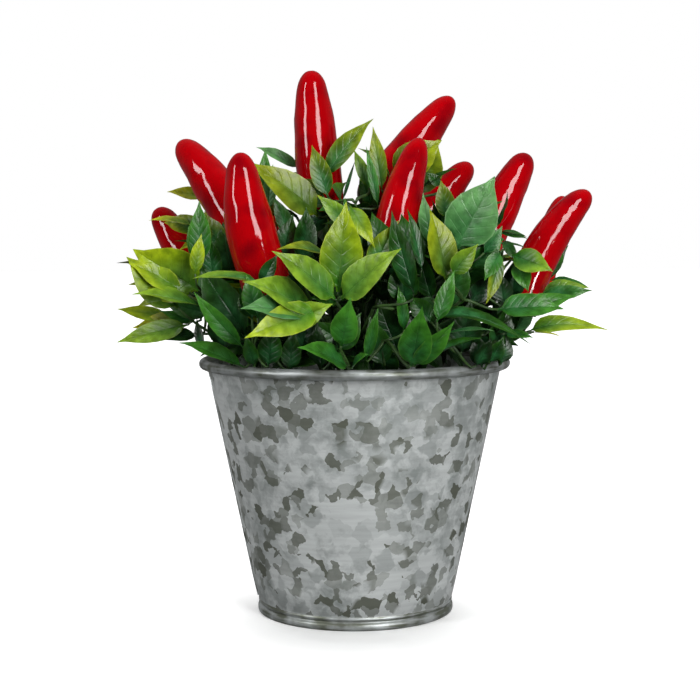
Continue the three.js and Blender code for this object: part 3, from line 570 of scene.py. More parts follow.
# The photograph's clearest leaves, spray by spray: where the root is, where the tip is, the way the face
# looks, width as a share of the length, droop and tint. Each stands on its own twig from the nearest limb.
PLACED_SPRAYS = {
    "centre": (
        (-6, -64, 130.9, -3, -70, 162.7, "front", 0.47, 0.1, "lime"),
        (-7.1, -66, 128.5, -27.8, -80, 146.3, "tilt_left", 0.4, 0.12, "fresh"),
        (-4.9, -66, 128.5, 15.4, -80, 146.4, "tilt_right", 0.42, 0.1, "fresh"),
        (-9, -54, 143.8, -27.5, -64, 147.2, "up", 0.45, 0.15, "olive"),
        (-0.9, -52, 154, -13.2, -56, 166.3, "front", 0.37, 0.1, "fresh"),
        (-1.6, -50, 162, 7.1, -56, 147, "front", 0.37, 0.15, "lime"),
        (-1.7, -58, 130.7, 2.7, -60, 150.3, "right", 0.37, 0.05, "lime"),
    ),
    "centre_low": (
        (-14.7, -64, 123.4, -37.9, -82, 135.6, "tilt_left", 0.45, 0.15, "fresh"),
        (-16.8, -68, 122.9, -38.9, -84, 126.6, "tilt", 0.43, 0.12, "mint"),
        (-12.4, -70, 125.1, -37.8, -86, 116.6, "front", 0.38, 0.08, "lime"),
        (-23.3, -66, 119.6, -8.4, -76, 127.5, "front", 0.49, 0.05, "fresh"),
        (-5, -70, 111.9, -1.4, -80, 129.1, "front", 0.49, 0.05, "mid"),
        (-2.9, -64, 104.2, -19.3, -80, 112.7, "tilt", 0.45, 0.12, "mid"),
        (-1.1, -66, 103.6, 4.2, -76, 109.8, "tilt_right", 0.43, 0.1, "mid"),
        (-36.8, -60, 104, -39.2, -66, 115.7, "front", 0.4, 0.05, "deep"),
        (-31.8, -58, 103.8, -29.6, -62, 119, "front", 0.56, 0.05, "deep"),
        (-34, -60, 133.4, -28, -62, 144.7, "front", 0.43, 0.05, "deep"),
    ),
    "left": (
        (-58.7, -38, 131, -82.1, -44, 146.5, "front_left", 0.74, 0.1, "lime"),
        (-66.4, -40, 124.3, -84.4, -44, 143.9, "tilt_left", 0.56, 0.04, "lime"),
        (-57.8, -44, 125.2, -81.6, -52, 130.8, "up", 0.43, 0.1, "fresh"),
        (-71.4, -24, 119.7, -91.2, -28, 123.8, "front", 0.28, 0.03, "lime"),
        (-64.9, -40, 131.4, -83.5, -45, 141.7, "tilt_left", 0.5, 0.08, "lime"),
        (-49.6, -32, 144.8, -56.5, -30, 160, "front_left", 0.6, 0.08, "olive"),
        (-64.3, -26, 117.1, -90.5, -34, 111.5, "front", 0.3, 0.04, "fresh"),
        (-65.5, -22, 118, -85.2, -28, 116.5, "front_left", 0.42, 0.1, "gold"),
        (-55.4, -30, 121.5, -73.5, -28, 125.7, "front_left", 0.4, 0.1, "deep"),
        (-62.1, -38, 131.3, -84.3, -43, 133.9, "tilt_left", 0.42, 0.12, "olive"),
        (-53.1, -37, 133.2, -54.9, -40, 152, "front", 0.42, 0.08, "deep"),
        (-59, -30, 141.4, -63.4, -30, 155.1, "front_left", 0.36, 0.08, "mid"),
        (-41, -56, 110.6, -59.4, -56, 130.5, "front_left", 0.26, 0.14, "mid"),
        (-39.6, -54, 114.5, -57.4, -50, 141.3, "front_left", 0.45, 0.05, "deep"),
        (-35, -60, 134.9, -58.7, -62, 136.9, "up", 0.3, 0.12, "fresh"),
        (-58.9, -50, 137.3, -56.3, -52, 152, "front", 0.36, 0.05, "lime"),
        (-57.4, -42, 141.6, -57.7, -44, 164.2, "front", 0.38, 0.08, "mid"),
        (-59.6, 4, 166.6, -75.3, 4, 169.4, "tilt", 0.4, 0.08, "gold"),
        (-66, 10, 155.8, -83.2, 8, 158.3, "up", 0.39, 0.12, "gold"),
        (-41.5, -50, 102.8, -65.9, -46, 112.6, "up", 0.37, 0.1, "mid"),
        (-60.9, -22, 112.5, -80.5, -26, 112.5, "tilt", 0.34, 0.1, "deep"),
        (-50.3, -32, 145.9, -56.8, -30, 159.6, "front_left", 0.7, 0.08, "olive"),
        (-61.4, -24, 118.1, -75, -26, 122.5, "front_left", 0.3, 0.1, "mid"),
    ),
    "upper": (
        (-22.3, 12, 178.8, -39.4, 12, 187.8, "tilt", 0.31, 0.1, "mint"),
        (-35.5, -8, 167, -34.6, -8, 185.8, "front", 0.28, 0.05, "mid"),
        (-14.1, -14, 158.9, -40.6, -20, 179.7, "tilt_left", 0.43, 0.3, "olive"),
        (-33.6, -16, 161.3, -31.9, -16, 179.1, "front", 0.31, 0.05, "mint"),
        (-10.1, -18, 166.2, -16.6, -16, 186.4, "front", 0.38, 0.06, "olive"),
        (-11.3, -14, 174.1, 6.8, -12, 197.4, "front_left", 0.32, 0.2, "olive"),
        (5.9, -16, 169.7, 0.1, -14, 184.9, "front", 0.3, 0.1, "fresh"),
        (10.8, -20, 168.8, 7.5, -18, 193.5, "front", 0.26, 0.05, "olive"),
        (9.2, -22, 162.6, 5.1, -22, 185.6, "front", 0.16, 0.05, "mid"),
        (-4.3, -12, 165.2, 0.5, -14, 180.7, "front", 0.09, 0.1, "deep"),
        (15.5, -7, 174.3, 34.5, -7, 189.1, "front", 0.62, 0.06, "olive"),
        (27, -6, 169.9, 40.3, -8, 178.1, "up", 0.28, 0.08, "deep"),
        (35.5, -34, 157.3, 32.5, -34, 172, "front", 0.49, 0.05, "olive"),
        (6.8, -4, 163.3, 2.4, -6, 175.5, "front", 0.4, 0.06, "mid"),
        (21, 2, 167.8, 33.8, 2, 189.7, "front", 0.76, 0.08, "olive"),
        (34.5, -6, 170.7, 28.5, -8, 176.1, "front", 0.5, 0.1, "deep"),
    ),
    "right_centre": (
        (38.3, -44, 146.4, 51.3, -50, 172.6, "front", 0.65, 0.08, "mint"),
        (28.7, -48, 147.2, 25.4, -48, 166.8, "front_left", 0.31, 0.05, "mint"),
        (33.2, -58, 134.9, 27.7, -60, 160.6, "front_right", 0.47, 0.1, "olive"),
        (35.2, -62, 137.2, 43.7, -68, 148, "front", 0.5, 0.06, "fresh"),
        (21.6, -58, 129.9, 13.3, -56, 160.1, "front_left", 0.28, 0.06, "deep"),
        (24.4, -60, 138.6, 19.4, -58, 161.1, "front_right", 0.21, 0.05, "deep"),
        (5.7, -52, 137.8, 16.3, -54, 156.4, "front", 0.45, 0.08, "olive"),
        (18.2, -50, 125.9, 17.4, -54, 143.7, "front", 0.63, 0.05, "deep"),
    ),
    "right_low": (
        (20.2, -66, 104.3, 23.5, -80, 125.5, "front", 0.47, 0.06, "mid"),
        (20.9, -66, 104.6, 34.8, -78, 120.4, "front_right", 0.33, 0.08, "mid"),
        (21.8, -62, 103.9, 44.5, -72, 115.7, "up", 0.35, 0.1, "deep"),
        (29.5, -66, 120.1, 35.6, -66, 138.7, "front", 0.33, 0.05, "mid"),
        (29.9, -60, 121.2, 63.4, -62, 112.5, "up", 0.36, 0.85, "deep"),
        (33.5, -60, 115.7, 50, -66, 117.5, "up", 0.2, 0.12, "mint"),
        (54.2, -44, 143.8, 49.3, -50, 125.8, "front_right", 0.3, 0.08, "olive"),
        (56.2, -24, 152.7, 66.6, -24, 150.8, "up", 0.3, 0.1, "deep"),
        (57.4, -24, 148.1, 65.9, -24, 146.6, "up", 0.26, 0.1, "deep"),
        (48.3, -44, 144.5, 55.3, -44, 154.5, "front_right", 0.43, 0.05, "mint"),
        (54, -46, 144.9, 47.8, -50, 134.7, "front", 0.49, 0.05, "mid"),
    ),
    "right": (
        (59.4, -38, 143.7, 73.4, -46, 137.8, "front", 0.55, 0.06, "fresh"),
        (61.1, -36, 141, 65.4, -42, 130.2, "front", 0.55, 0.06, "mid"),
        (56.8, -30, 149.3, 62.1, -34, 141, "front", 0.4, 0.06, "deep"),
        (73.4, -14, 128.4, 91.9, -16, 130.8, "tilt", 0.43, 0.14, "fresh"),
        (72.3, -20, 127.3, 92.2, -22, 130.2, "front", 0.3, 0.1, "mid"),
        (79, 2, 133, 94.8, 2, 130.6, "up", 0.35, 0.08, "mid"),
        (53.2, -48, 123.6, 77.7, -48, 124.4, "tilt", 0.47, 0.12, "mid"),
        (58.6, -46, 120.6, 83.4, -42, 128.9, "tilt", 0.35, 0.12, "mid"),
        (67.2, -30, 114.5, 96.8, -30, 115.5, "tilt", 0.34, 0.75, "lime"),
        (68.3, -34, 114.3, 77.9, -36, 113.3, "up", 0.16, 0.12, "gold"),
        (50.6, -44, 103.7, 55.7, -46, 113.6, "front_right", 0.52, 0.05, "deep"),
    ),
    # Leaves inside the crown, many in the shade tint, which is painted shade
    "inner": (
        (16.2, -44, 107.7, 8.7, -46, 127.3, "front_left", 0.62, 0.08, "shade"),
        (24.8, -44, 107.6, 25.8, -46, 127.9, "front", 0.6, 0.08, "shade"),
        (40.3, -42, 107.4, 42.9, -46, 127.1, "front", 0.6, 0.08, "shade"),
        (10.8, -50, 102.9, 5.6, -52, 121.6, "front", 0.5, 0.08, "deep"),
        (34.4, -40, 123.1, 41.6, -44, 143.4, "front_right", 0.5, 0.08, "deep"),
        (-20.5, -46, 106.5, -15.8, -48, 125.2, "front", 0.58, 0.08, "shade"),
        (-12.2, -50, 102.3, -14.3, -52, 119.5, "front_left", 0.5, 0.08, "shade"),
        (-24.1, -48, 101.4, -22.9, -50, 116.4, "front", 0.5, 0.08, "deep"),
        (-48.4, -42, 108.5, -50.6, -44, 128.2, "front_left", 0.55, 0.08, "shade"),
        (-27.3, -38, 141.4, -23.4, -38, 159.4, "front", 0.5, 0.08, "deep"),
        (-19.6, -42, 141.4, -18, -42, 161.9, "front_right", 0.46, 0.08, "deep"),
        (-46.5, -34, 136.1, -50.1, -34, 156.5, "front_left", 0.5, 0.08, "deep"),
        (53.1, -34, 106.8, 58.1, -36, 124.4, "front_right", 0.55, 0.08, "deep"),
        (28.9, -44, 127.1, 23.2, -46, 146.5, "front_left", 0.4, 0.08, "deep"),
        (11.8, -44, 141.3, 6.7, -40, 160, "front", 0.5, 0.08, "deep"),
        (60.3, -30, 126.4, 61.5, -32, 142.5, "front", 0.55, 0.08, "shade"),
        (45.2, -46, 102.5, 50.8, -50, 113.2, "front_right", 0.5, 0.08, "shade"),
        (-5.4, -40, 139.1, -8.3, -42, 152.6, "front", 0.7, 0.08, "shade"),
        (18.2, -50, 116.3, 15.9, -54, 132.7, "front_right", 0.3, 0.08, "mid"),
        (4.1, -56, 105.7, 8.4, -60, 124.9, "front", 0.22, 0.05, "mid"),
        (-24.1, -20, 150.4, -31.3, -22, 166.6, "front", 0.36, 0.08, "deep"),
        (-37.3, -60, 121.1, -39.5, -59, 133.8, "front", 0.66, 0.06, "deep"),
        (56.2, -24, 152, 67, -24, 150, "tilt", 0.3, 0.1, "deep"),
        (56.6, -40, 114, 66.7, -44, 113.1, "tilt", 0.4, 0.12, "mid"),
        (21.3, -48, 141.4, 17.4, -42, 159.5, "front", 0.42, 0.06, "deep"),
        (44.1, -40, 138.9, 55.8, -40, 149.7, "front_right", 0.5, 0.08, "mid"),
        (43.4, -40, 125.7, 51.5, -38, 135.8, "front_right", 0.6, 0.08, "shade"),
        (57, -36, 124.4, 54.5, -34, 137.2, "front", 0.6, 0.08, "shade"),
        (28.3, -48, 119.1, 20.2, -46, 128.7, "front", 0.62, 0.08, "deep"),
        (47.6, -44, 101.9, 45.4, -44, 114.3, "front", 0.62, 0.08, "shade"),
        (55.2, -40, 102.7, 57.4, -40, 114, "front_right", 0.6, 0.08, "shade"),
        (-57.8, -34, 108, -60.7, -30, 120, "front_left", 0.3, 0.08, "shade"),
        (-39, -46, 125.2, -34.4, -46, 135.6, "front_right", 0.7, 0.08, "shade"),
        (-24.9, -42, 128, -20.3, -44, 141.5, "front", 0.6, 0.08, "deep"),
        (-46.7, -30, 147.4, -45, -30, 159.6, "front", 0.4, 0.08, "deep"),
        (-35, -62, 121.6, -39.2, -62, 137.1, "front", 0.5, 0.06, "mid"),
    ),
}
FACINGS = {
    "front": (0, -1, 0.25), "tilt": (0, -0.75, 0.65), "up": (0, -0.4, 0.92), "tilt_left": (-0.25, -0.75, 0.6),
    "tilt_right": (0.25, -0.8, 0.55), "front_left": (-0.4, -0.9, 0.2), "front_right": (0.4, -0.9, 0.2),
    "right": (1, -0.35, 0.2),
}
# How far a placed leaf's twig keeps to its first and last way, as shares of its reach
PLACED_TWIG = {"leave": 0.3, "arrive": 0.35}
# The photograph's view: where the camera stands, how far it looks down and leans, and its lens
CAMERA = {"place": (-1.79, -608.4, 150.8), "down": 4.2878, "roll": -0.2263, "lens": 77.74, "sensor": 36}
# Where the photograph shows sky through the leaves: right and up of the view's middle, and the radius. These
# and the next are in millimetres at the distance of the pot's middle.
SKY = (
    (0.4, 71.5, 3.4), (0.6, 63.5, 3.4), (-27, 60.5, 1.8), (-24, 56, 1.5), (-67.5, 12, 2), (-67, 8, 1.6),
    (-59, 11.5, 1.4), (-58, 6.5, 1.4), (65, 49, 2.4), (66, 43, 2), (28.6, 62, 1.4), (88, 3, 7), (77, 3, 5),
    (89, 18.5, 3), (80, 18, 2), (-92.5, 42, 2.5),
)
# A grown leaf hides a placed one if more than the most of its places lie this near and this far ahead
HIDING = {"near": 2.4, "most": 1, "ahead": 1.5}


def photo_view(places):
    """Where places show in the photograph, right and up of its middle, and how far away they are."""
    down, roll = CAMERA["down"] * DEGREE, CAMERA["roll"] * DEGREE
    away = places - np.array(CAMERA["place"])
    deep = away[:, 1] * math.cos(down) - away[:, 2] * math.sin(down)
    rise = away[:, 1] * math.sin(down) + away[:, 2] * math.cos(down)
    scale = -CAMERA["place"][1] / deep
    right = (away[:, 0] * math.cos(roll) + rise * math.sin(roll)) * scale
    up = (rise * math.cos(roll) - away[:, 0] * math.sin(roll)) * scale
    return np.column_stack([right, up, deep])


def over_sky(seen):
    """True if any place, as the photograph sees it, lies where there is sky."""
    return any((np.hypot(seen[:, 0] - right, seen[:, 1] - up) < radius).any() for right, up, radius in SKY)


def spoils_photo(leaf, shown):
    """True for a leaf that would cover a placed leaf, or sky, as the photograph sees them."""
    seen = photo_view(leaf.places(*TEST_GRID))
    if over_sky(seen):
        return True
    apart = np.hypot(seen[:, None, 0] - shown[None, :, 0], seen[:, None, 1] - shown[None, :, 1])
    covers = (apart < HIDING["near"]) & (seen[:, None, 2] < shown[None, :, 2] - HIDING["ahead"])
    return int(covers.any(1).sum()) > HIDING["most"]


def placed_leaf(root, tip, facing, share, droop):
    """A leaf whose root and tip are given. It droops away from the way its face looks."""
    chord = tip - root
    lean = math.atan(droop)
    straight = unit(chord)
    square = square_to(vector(*FACINGS[facing]), straight)
    aim = straight * math.cos(lean) + square * math.sin(lean)
    face = square * math.cos(lean) - straight * math.sin(lean)
    return Leaf(root, aim, face, length_of(chord) * math.cos(lean), share, droop)


def nearest_on_limbs(place, limbs):
    """The point of the limbs' middle lines that is nearest to a place."""
    apart = ((limbs[:, :3] - place) ** 2).sum(1)
    return limbs[apart.argmin(), :3]


def grow_placed(growth, limbs, marks_of):
    """The placed leaves, each on its twig. They come before the finer growth, which keeps clear of them."""
    shown = []
    for group, rows in enumerate(PLACED_SPRAYS.values()):
        for *ends, facing, share, droop, tint in rows:
            leaf = placed_leaf(vector(*ends[:3]), vector(*ends[3:]), facing, share, droop)
            leaf.tint = tint
            start = nearest_on_limbs(leaf.root, limbs)
            reach = length_of(leaf.root - start)
            out = unit(leaf.root - CROWN)
            twig = Curve(start, start + out * reach * PLACED_TWIG["leave"],
                         leaf.root - leaf.aim * reach * PLACED_TWIG["arrive"], leaf.root)
            growth.twigs.append(twig)
            own = nearest_cell(leaf.places([0.5], [0])[0])
            keep_leaf(leaf, own, PLACED_SPRAY + group, growth, marks_of[own])
            shown.append(photo_view(leaf.places(*MARK_GRID)))
    return np.concatenate(shown)


def drop_stalks_over_sky(growth, grown):
    """Takes off each stalk whose last two balls lie over sky, with its leaves."""
    for own, (_, _, stalks, _) in enumerate(grown):
        for stalk in [stalk for stalk in stalks if over_sky(photo_view(stalk["chain"][-2:, :3]))]:
            stalks.remove(stalk)
            growth.stalks.remove((own, stalk))
            growth.leaves[own] = [leaf for leaf in growth.leaves[own] if leaf.spray != (own, stalk["spray"])]


@functools.lru_cache(maxsize=1)
def grown_plant():
    """The whole plant by the source's rule, and then its finer growth."""
    growth = Growth()
    grow_stem(growth)
    bough_chains, stem_chains = [], []
    for _, turn, lean, _ in MASSES:
        curve, root, chain, stem_chain = grow_bough(turn, lean)
        growth.boughs.append((curve, root))
        bough_chains.append(chain)
        stem_chains.append(stem_chain)
    limb_balls = joined([*bough_chains, *stem_chains])
    for number, chilli in enumerate(CHILLIES, 1):
        grow_fruit(number, *chilli, growth, limb_balls)
    growth.balls = joined([growth.balls, *bough_chains])
    grown = [grow_mass(own, growth) for own in range(len(MASSES))]
    drop_stalks_over_sky(growth, grown)
    marks_of = [marks for *_, marks in grown]
    chains = [stalk["chain"] for *_, stalks, _ in grown for stalk in stalks]
    limbs = joined([*bough_chains, *(stem_balls for _, stem_balls, _, _ in grown), *chains])
    shown = grow_placed(growth, limbs, marks_of)
    for number, twig in enumerate(growth.twigs):
        grow_between("twig", TWIG_SPRAY, number, twig, growth, marks_of)
    for number, (_, _, stalk) in enumerate(growth.fruit, 1):
        grow_between("fruit", COLLAR_SPRAY, number, stalk, growth, marks_of)
    for own, (stem, stem_balls, stalks, marks) in enumerate(grown):
        grow_finer(own, growth, stem, stem_balls, stalks, marks)
    for own, leaves in growth.leaves.items():
        growth.leaves[own] = [leaf for leaf in leaves if leaf.tint or not spoils_photo(leaf, shown)]
    return growth


# Sizes that the panel offers, in millimetres, and what each one is
SIZES = {
    "sheet": (0.8, "Thickness of the pot's sheet"),
    "seam_width": (6.5, "Width of the lapped seam on the pot's side"),
    "seam_stand": (0.4, "How far the seam stands out from the pot's wall"),
    "leaf_thickness": (0.4, "Thickness of a leaf at its middle"),
    "twig_root": (0.7, "Radius of a leaf's twig where it leaves its limb"),
    "twig_tip": (0.45, "Radius of a leaf's twig where it meets the leaf"),
}
# Colours as sRGB hex
COLOURS = {
    "zinc_light": "#ebf0ef", "zinc_mid": "#a9b0ae", "zinc_dark": "#6a6e62", "zinc_edge": "#b4b9b9",
    "foam_dark": "#2a241c", "foam_light": "#4a3f30", "stem": "#3a5a22", "stem_dark": "#203717",
    "chilli": "#ae0008", "chilli_dark": "#86000a", "leaf_heart": "#2a6638", "paper": "#f4f4f4",
}
# Printed leaf tints, dealt out by spray: base, tip and vein of each. The shade tint is no print but painted
# shade: a darker copy of the greens for leaves inside the crown.
LEAF_TINTS = {
    "shade": ("#061c05", "#153409", "#2a4a1c"),
    "deep": ("#0a2f06", "#24520c", "#456f28"),
    "mid": ("#154d0e", "#3d7a20", "#6f9a46"),
    "mint": ("#1d5a26", "#5d9152", "#96bd88"),
    "fresh": ("#226512", "#82a428", "#a3ba50"),
    "lime": ("#2f7208", "#97ab14", "#b6c043"),
    "olive": ("#1f5206", "#82900c", "#9aa338"),
    "gold": ("#3f7005", "#a9ac12", "#c4c244"),
}
for leaf_tint, leaf_colours in LEAF_TINTS.items():
    for leaf_part, leaf_hex in zip(("base", "tip", "vein"), leaf_colours):
        COLOURS[f"leaf_{leaf_tint}_{leaf_part}"] = leaf_hex
WHITE = (1, 1, 1, 1)


def linear(hex_colour):
    """An sRGB hex colour as the linear one that shaders take."""
    shares = [int(hex_colour[i:i + 2], 16) / 255 for i in (1, 3, 5)]
    return (*((c / 12.92 if c <= 0.04045 else ((c + 0.055) / 1.055) ** 2.4) for c in shares), 1.0)


def size(name):
    """A size as the panel has it, in millimetres."""
    return getattr(bpy.context.scene.chilli_plant_sizes, name) / MM


def paint(name):
    """A colour as the panel has it."""
    return tuple(getattr(bpy.context.scene.chilli_plant_colours, name))


def feed(tree, node, inputs):
    """Gives a node's inputs their values, or links them from output sockets."""
    for place, value in inputs.items():
        if isinstance(value, bpy.types.NodeSocket):
            tree.links.new(value, node.inputs[place])
        else:
            node.inputs[place].default_value = value


def add_node(tree, kind, inputs=None, **settings):
    node = tree.nodes.new(kind)
    for name, value in settings.items():
        setattr(node, name, value)
    feed(tree, node, inputs or {})
    return node


def maths(tree, operation, *values):
    """One to three values worked into one."""
    return add_node(tree, "ShaderNodeMath", dict(enumerate(values)), operation=operation).outputs[0]


def ranged(tree, value, start=(0.0, 1.0), end=(0.0, 1.0)):
    """A value moved from its own range to another, and held within that."""
    inputs = {"Value": value, "From Min": start[0], "From Max": start[1], "To Min": end[0], "To Max": end[1]}
    return add_node(tree, "ShaderNodeMapRange", inputs).outputs[0]


def noise_node(tree, place, scale, detail, roughness=0.5):
    inputs = {"Vector": place, "Scale": scale, "Detail": detail, "Roughness": roughness}
    return add_node(tree, "ShaderNodeTexNoise", inputs)


def cloudiness(tree, *pattern):
    """Noise from 0 to 1. Its scale is the number of its clouds in a metre."""
    return noise_node(tree, *pattern).outputs["Fac"]


def drawn_out(tree, place, scale):
    """Places with a scale for each axis. The lower it is, the longer the pattern is drawn that way."""
    return add_node(tree, "ShaderNodeMapping", {0: place, 3: scale}).outputs[0]


def mixed(tree, share, first, second):
    """The first colour, with the second over it by a share."""
    return add_node(tree, "ShaderNodeMix", {0: share, 6: first, 7: second}, data_type="RGBA").outputs[2]


def blended(tree, share, low, high):
    """A colour that runs between two stops, each a share and a colour."""
    ramp = add_node(tree, "ShaderNodeValToRGB", {0: share})
    for stop, (place, colour) in zip(ramp.color_ramp.elements, (low, high)):
        stop.position = place
        stop.color = colour
    return ramp.outputs[0]


def relief(tree, height, strength, depth):
    """The way a surface faces when a height is pressed into it. The depth is in metres."""
    inputs = {"Height": height, "Strength": strength, "Distance": depth}
    return add_node(tree, "ShaderNodeBump", inputs).outputs[0]


def vector_maths(tree, operation, first, second):
    return add_node(tree, "ShaderNodeVectorMath", {0: first, 1: second}, operation=operation).outputs[0]


def parts_of(tree, place):
    """X, Y and Z of a place, as three output sockets."""
    return add_node(tree, "ShaderNodeSeparateXYZ", {0: place}).outputs


def new_material(name):
    """A material with its node tree, its surface shader and the piece's own coordinates."""
    material = bpy.data.materials.new(name)
    material.use_nodes = True
    tree = material.node_tree
    place = add_node(tree, "ShaderNodeTexCoord").outputs["Object"]
    return material, tree, tree.nodes["Principled BSDF"], place


def mottled_zinc():
    """Hot-dip galvanised sheet, treated dull: zinc grains 3 to 12 mm across take the treatment unevenly, so
    the eye sees crisp dark flakes on a cloudy pale ground with a satin shine."""
    material, tree, shader, place = new_material("hot_dip_galvanised_steel_mottled")
    # Grain edges wander by a millimetre or two
    wander = noise_node(tree, place, 240, 2).outputs["Color"]
    wander = vector_maths(tree, "MULTIPLY", wander, (0.0055, 0.0055, 0.0055))
    bent = vector_maths(tree, "ADD", place, wander)
    # Grains of about 5 mm, picked in loose clusters, some darker than others
    grains = add_node(tree, "ShaderNodeTexVoronoi", {"Vector": bent, "Scale": 215})
    grain = add_node(tree, "ShaderNodeSeparateColor", {0: grains.outputs["Color"]}).outputs
    clusters = maths(tree, "MULTIPLY", cloudiness(tree, place, 48, 2), 0.9)
    picked = ranged(tree, maths(tree, "ADD", grain[0], clusters), (1.15, 1.19))
    flake = maths(tree, "MULTIPLY", picked, maths(tree, "MULTIPLY_ADD", grain[2], -0.6, 1.0))
    # Larger soft-edged grains between the light and the dark
    soft = add_node(tree, "ShaderNodeTexVoronoi", {"Vector": bent, "Scale": 150, "Smoothness": 0.2},
                    feature="SMOOTH_F1")
    soft_grain = add_node(tree, "ShaderNodeSeparateColor", {0: soft.outputs["Color"]}).outputs
    patches = ranged(tree, soft_grain[1], (0.45, 1.3))
    # Broad cloudy areas, and fine cloud over them
    broad, fine = cloudiness(tree, place, 34, 2), cloudiness(tree, bent, 150, 5, 0.6)
    cloudy = maths(tree, "MULTIPLY_ADD", broad, 0.9, fine)
    ground = blended(tree, cloudy, (0.7, paint("zinc_mid")), (1.0, paint("zinc_light")))
    flaked = mixed(tree, flake, mixed(tree, patches, ground, paint("zinc_mid")), paint("zinc_dark"))
    # Faint rubbed lines round the pot, about 1.5 mm apart
    lines = cloudiness(tree, drawn_out(tree, place, (45, 45, 650)), 1, 3)
    rubbed = ranged(tree, lines, (0.3, 0.7), (0.91, 1.07))
    colour = add_node(tree, "ShaderNodeHueSaturation", {"Value": rubbed, "Color": flaked})
    # The dull coat's own grain is under 0.3 mm. It is drawn at 0.7 mm so that it shows. Rolling drew it out a
    # little round the pot.
    coat = cloudiness(tree, drawn_out(tree, place, (0.25, 0.25, 1)), 1400, 3)
    height = maths(tree, "SUBTRACT", coat, picked)
    feed(tree, shader, {"Base Color": colour.outputs[0], "Roughness": ranged(tree, picked, end=(0.34, 0.5)),
                        "Metallic": 0.45, "Normal": relief(tree, height, 0.12, 0.0002)})
    return material


def rolled_zinc():
    """The same sheet where it is rolled into the rim and the foot ring: the grains are drawn out and rubbed,
    so the eye sees an even grey with faint streaks round the pot."""
    material, tree, shader, place = new_material("galvanised_steel_rolled_edge")
    streaks = cloudiness(tree, drawn_out(tree, place, (60, 60, 900)), 1, 4)
    blotches = cloudiness(tree, place, 130, 3)
    half = maths(tree, "MULTIPLY", maths(tree, "ADD", streaks, blotches), 0.5)
    colour = blended(tree, half, (0.42, paint("zinc_dark")), (0.58, paint("zinc_edge")))
    feed(tree, shader, {"Base Color": colour, "Roughness": ranged(tree, blotches, end=(0.36, 0.48)),
                        "Metallic": 0.5, "Normal": relief(tree, streaks, 0.15, 0.0002)})
    return material


def rough_foam():
    """Dark dry-foam block that holds the stems: open cells of about 1 mm, so the eye sees a matt crumbly
    brown."""
    material, tree, shader, place = new_material("dry_foam_cut_surface")
    cells = add_node(tree, "ShaderNodeTexVoronoi", {"Vector": place, "Scale": 700}).outputs[0]
    crumbs = cloudiness(tree, place, 220, 5)
    colour = blended(tree, crumbs, (0.35, paint("foam_dark")), (0.7, paint("foam_light")))
    height = maths(tree, "ADD", cells, crumbs)
    feed(tree, shader, {"Base Color": colour, "Roughness": 0.95, "Normal": relief(tree, height, 0.8, 0.001)})
    return material


def moulded_stem():
    """Polyethylene moulded over wire: fine lengthwise ribs and a waxy skin, so the eye sees a dull green rod
    with darker blotches."""
    material, tree, shader, place = new_material("polyethylene_moulded_stem")
    blotches = cloudiness(tree, place, 160, 4)
    colour = blended(tree, blotches, (0.35, paint("stem_dark")), (0.65, paint("stem")))
    # Ribs are 0.4 mm apart
    ribs = cloudiness(tree, drawn_out(tree, place, (2400, 2400, 120)), 1, 2)
    feed(tree, shader, {"Base Color": colour, "Roughness": 0.5, "Normal": relief(tree, ribs, 0.5, 0.0003)})
    return material


def lacquered_fruit():
    """Carved foam dipped in red lacquer: a wet-looking clear skin over small dents, so highlights are sharp,
    long and broken."""
    material, tree, shader, place = new_material("lacquered_foam_red")
    depth = cloudiness(tree, place, 90, 3)
    colour = blended(tree, depth, (0.3, paint("chilli_dark")), (0.55, paint("chilli")))
    # Dents of 4 to 6 mm, and runs of the lacquer along the fruit
    runs = cloudiness(tree, drawn_out(tree, place, (230, 230, 40)), 1, 1)
    height = maths(tree, "ADD", cloudiness(tree, place, 190, 1, 0.3), runs)
    normal = relief(tree, height, 0.5, 0.0005)
    feed(tree, shader, {"Base Color": colour, "Roughness": 0.4, "Specular IOR Level": 0.0, "Coat Weight": 1.0,
                        "Coat Roughness": 0.07, "Normal": normal, "Coat Normal": normal})
    return material


# Pattern of a leaf, in shares of its length or half width: how many side veins each half has, how far they
# rise, their half width and the rib's, and where the pale edge of painted light is
VEINS = {"count": 7.0, "rise": 0.22, "half_width": 0.09, "rib": 0.05, "edge": (0.93, 0.99), "relief": -0.5}
# The bluish heart: its place along the leaf, how far it reaches, and how strong it is
HEART = {"along": 0.32, "reach": (-0.28, 0.16), "most": 0.8}


def leaf_veins(tree, across, along):
    """How much a place shows of a vein, and the wave that runs from one side vein to the next."""
    risen = maths(tree, "MULTIPLY_ADD", across, -VEINS["rise"], along)
    wave = maths(tree, "PINGPONG", maths(tree, "MULTIPLY", risen, VEINS["count"]), 0.5)
    side_veins = ranged(tree, wave, (0.0, VEINS["half_width"]), (1.0, 0.0))
    faded = maths(tree, "MULTIPLY", side_veins, maths(tree, "MULTIPLY_ADD", across, -0.6, 0.75))
    rib = ranged(tree, across, (0.0, VEINS["rib"]), (1.0, 0.0))
    return maths(tree, "MAXIMUM", faded, rib), wave


def leaf_heart(tree, across, along, clouds, ripeness):
    """How strong the bluish heart is, with cloudy edges. A ripe leaf has less of it."""
    up_or_down = maths(tree, "ABSOLUTE", maths(tree, "SUBTRACT", along, HEART["along"]))
    outward = maths(tree, "MULTIPLY_ADD", across, 0.45, up_or_down)
    cloud_edge = maths(tree, "MULTIPLY_ADD", clouds, -0.7, outward)
    heart = ranged(tree, cloud_edge, HEART["reach"], (HEART["most"], 0.0))
    return maths(tree, "MULTIPLY", heart, maths(tree, "MULTIPLY_ADD", ripeness, -0.6, 1.0))


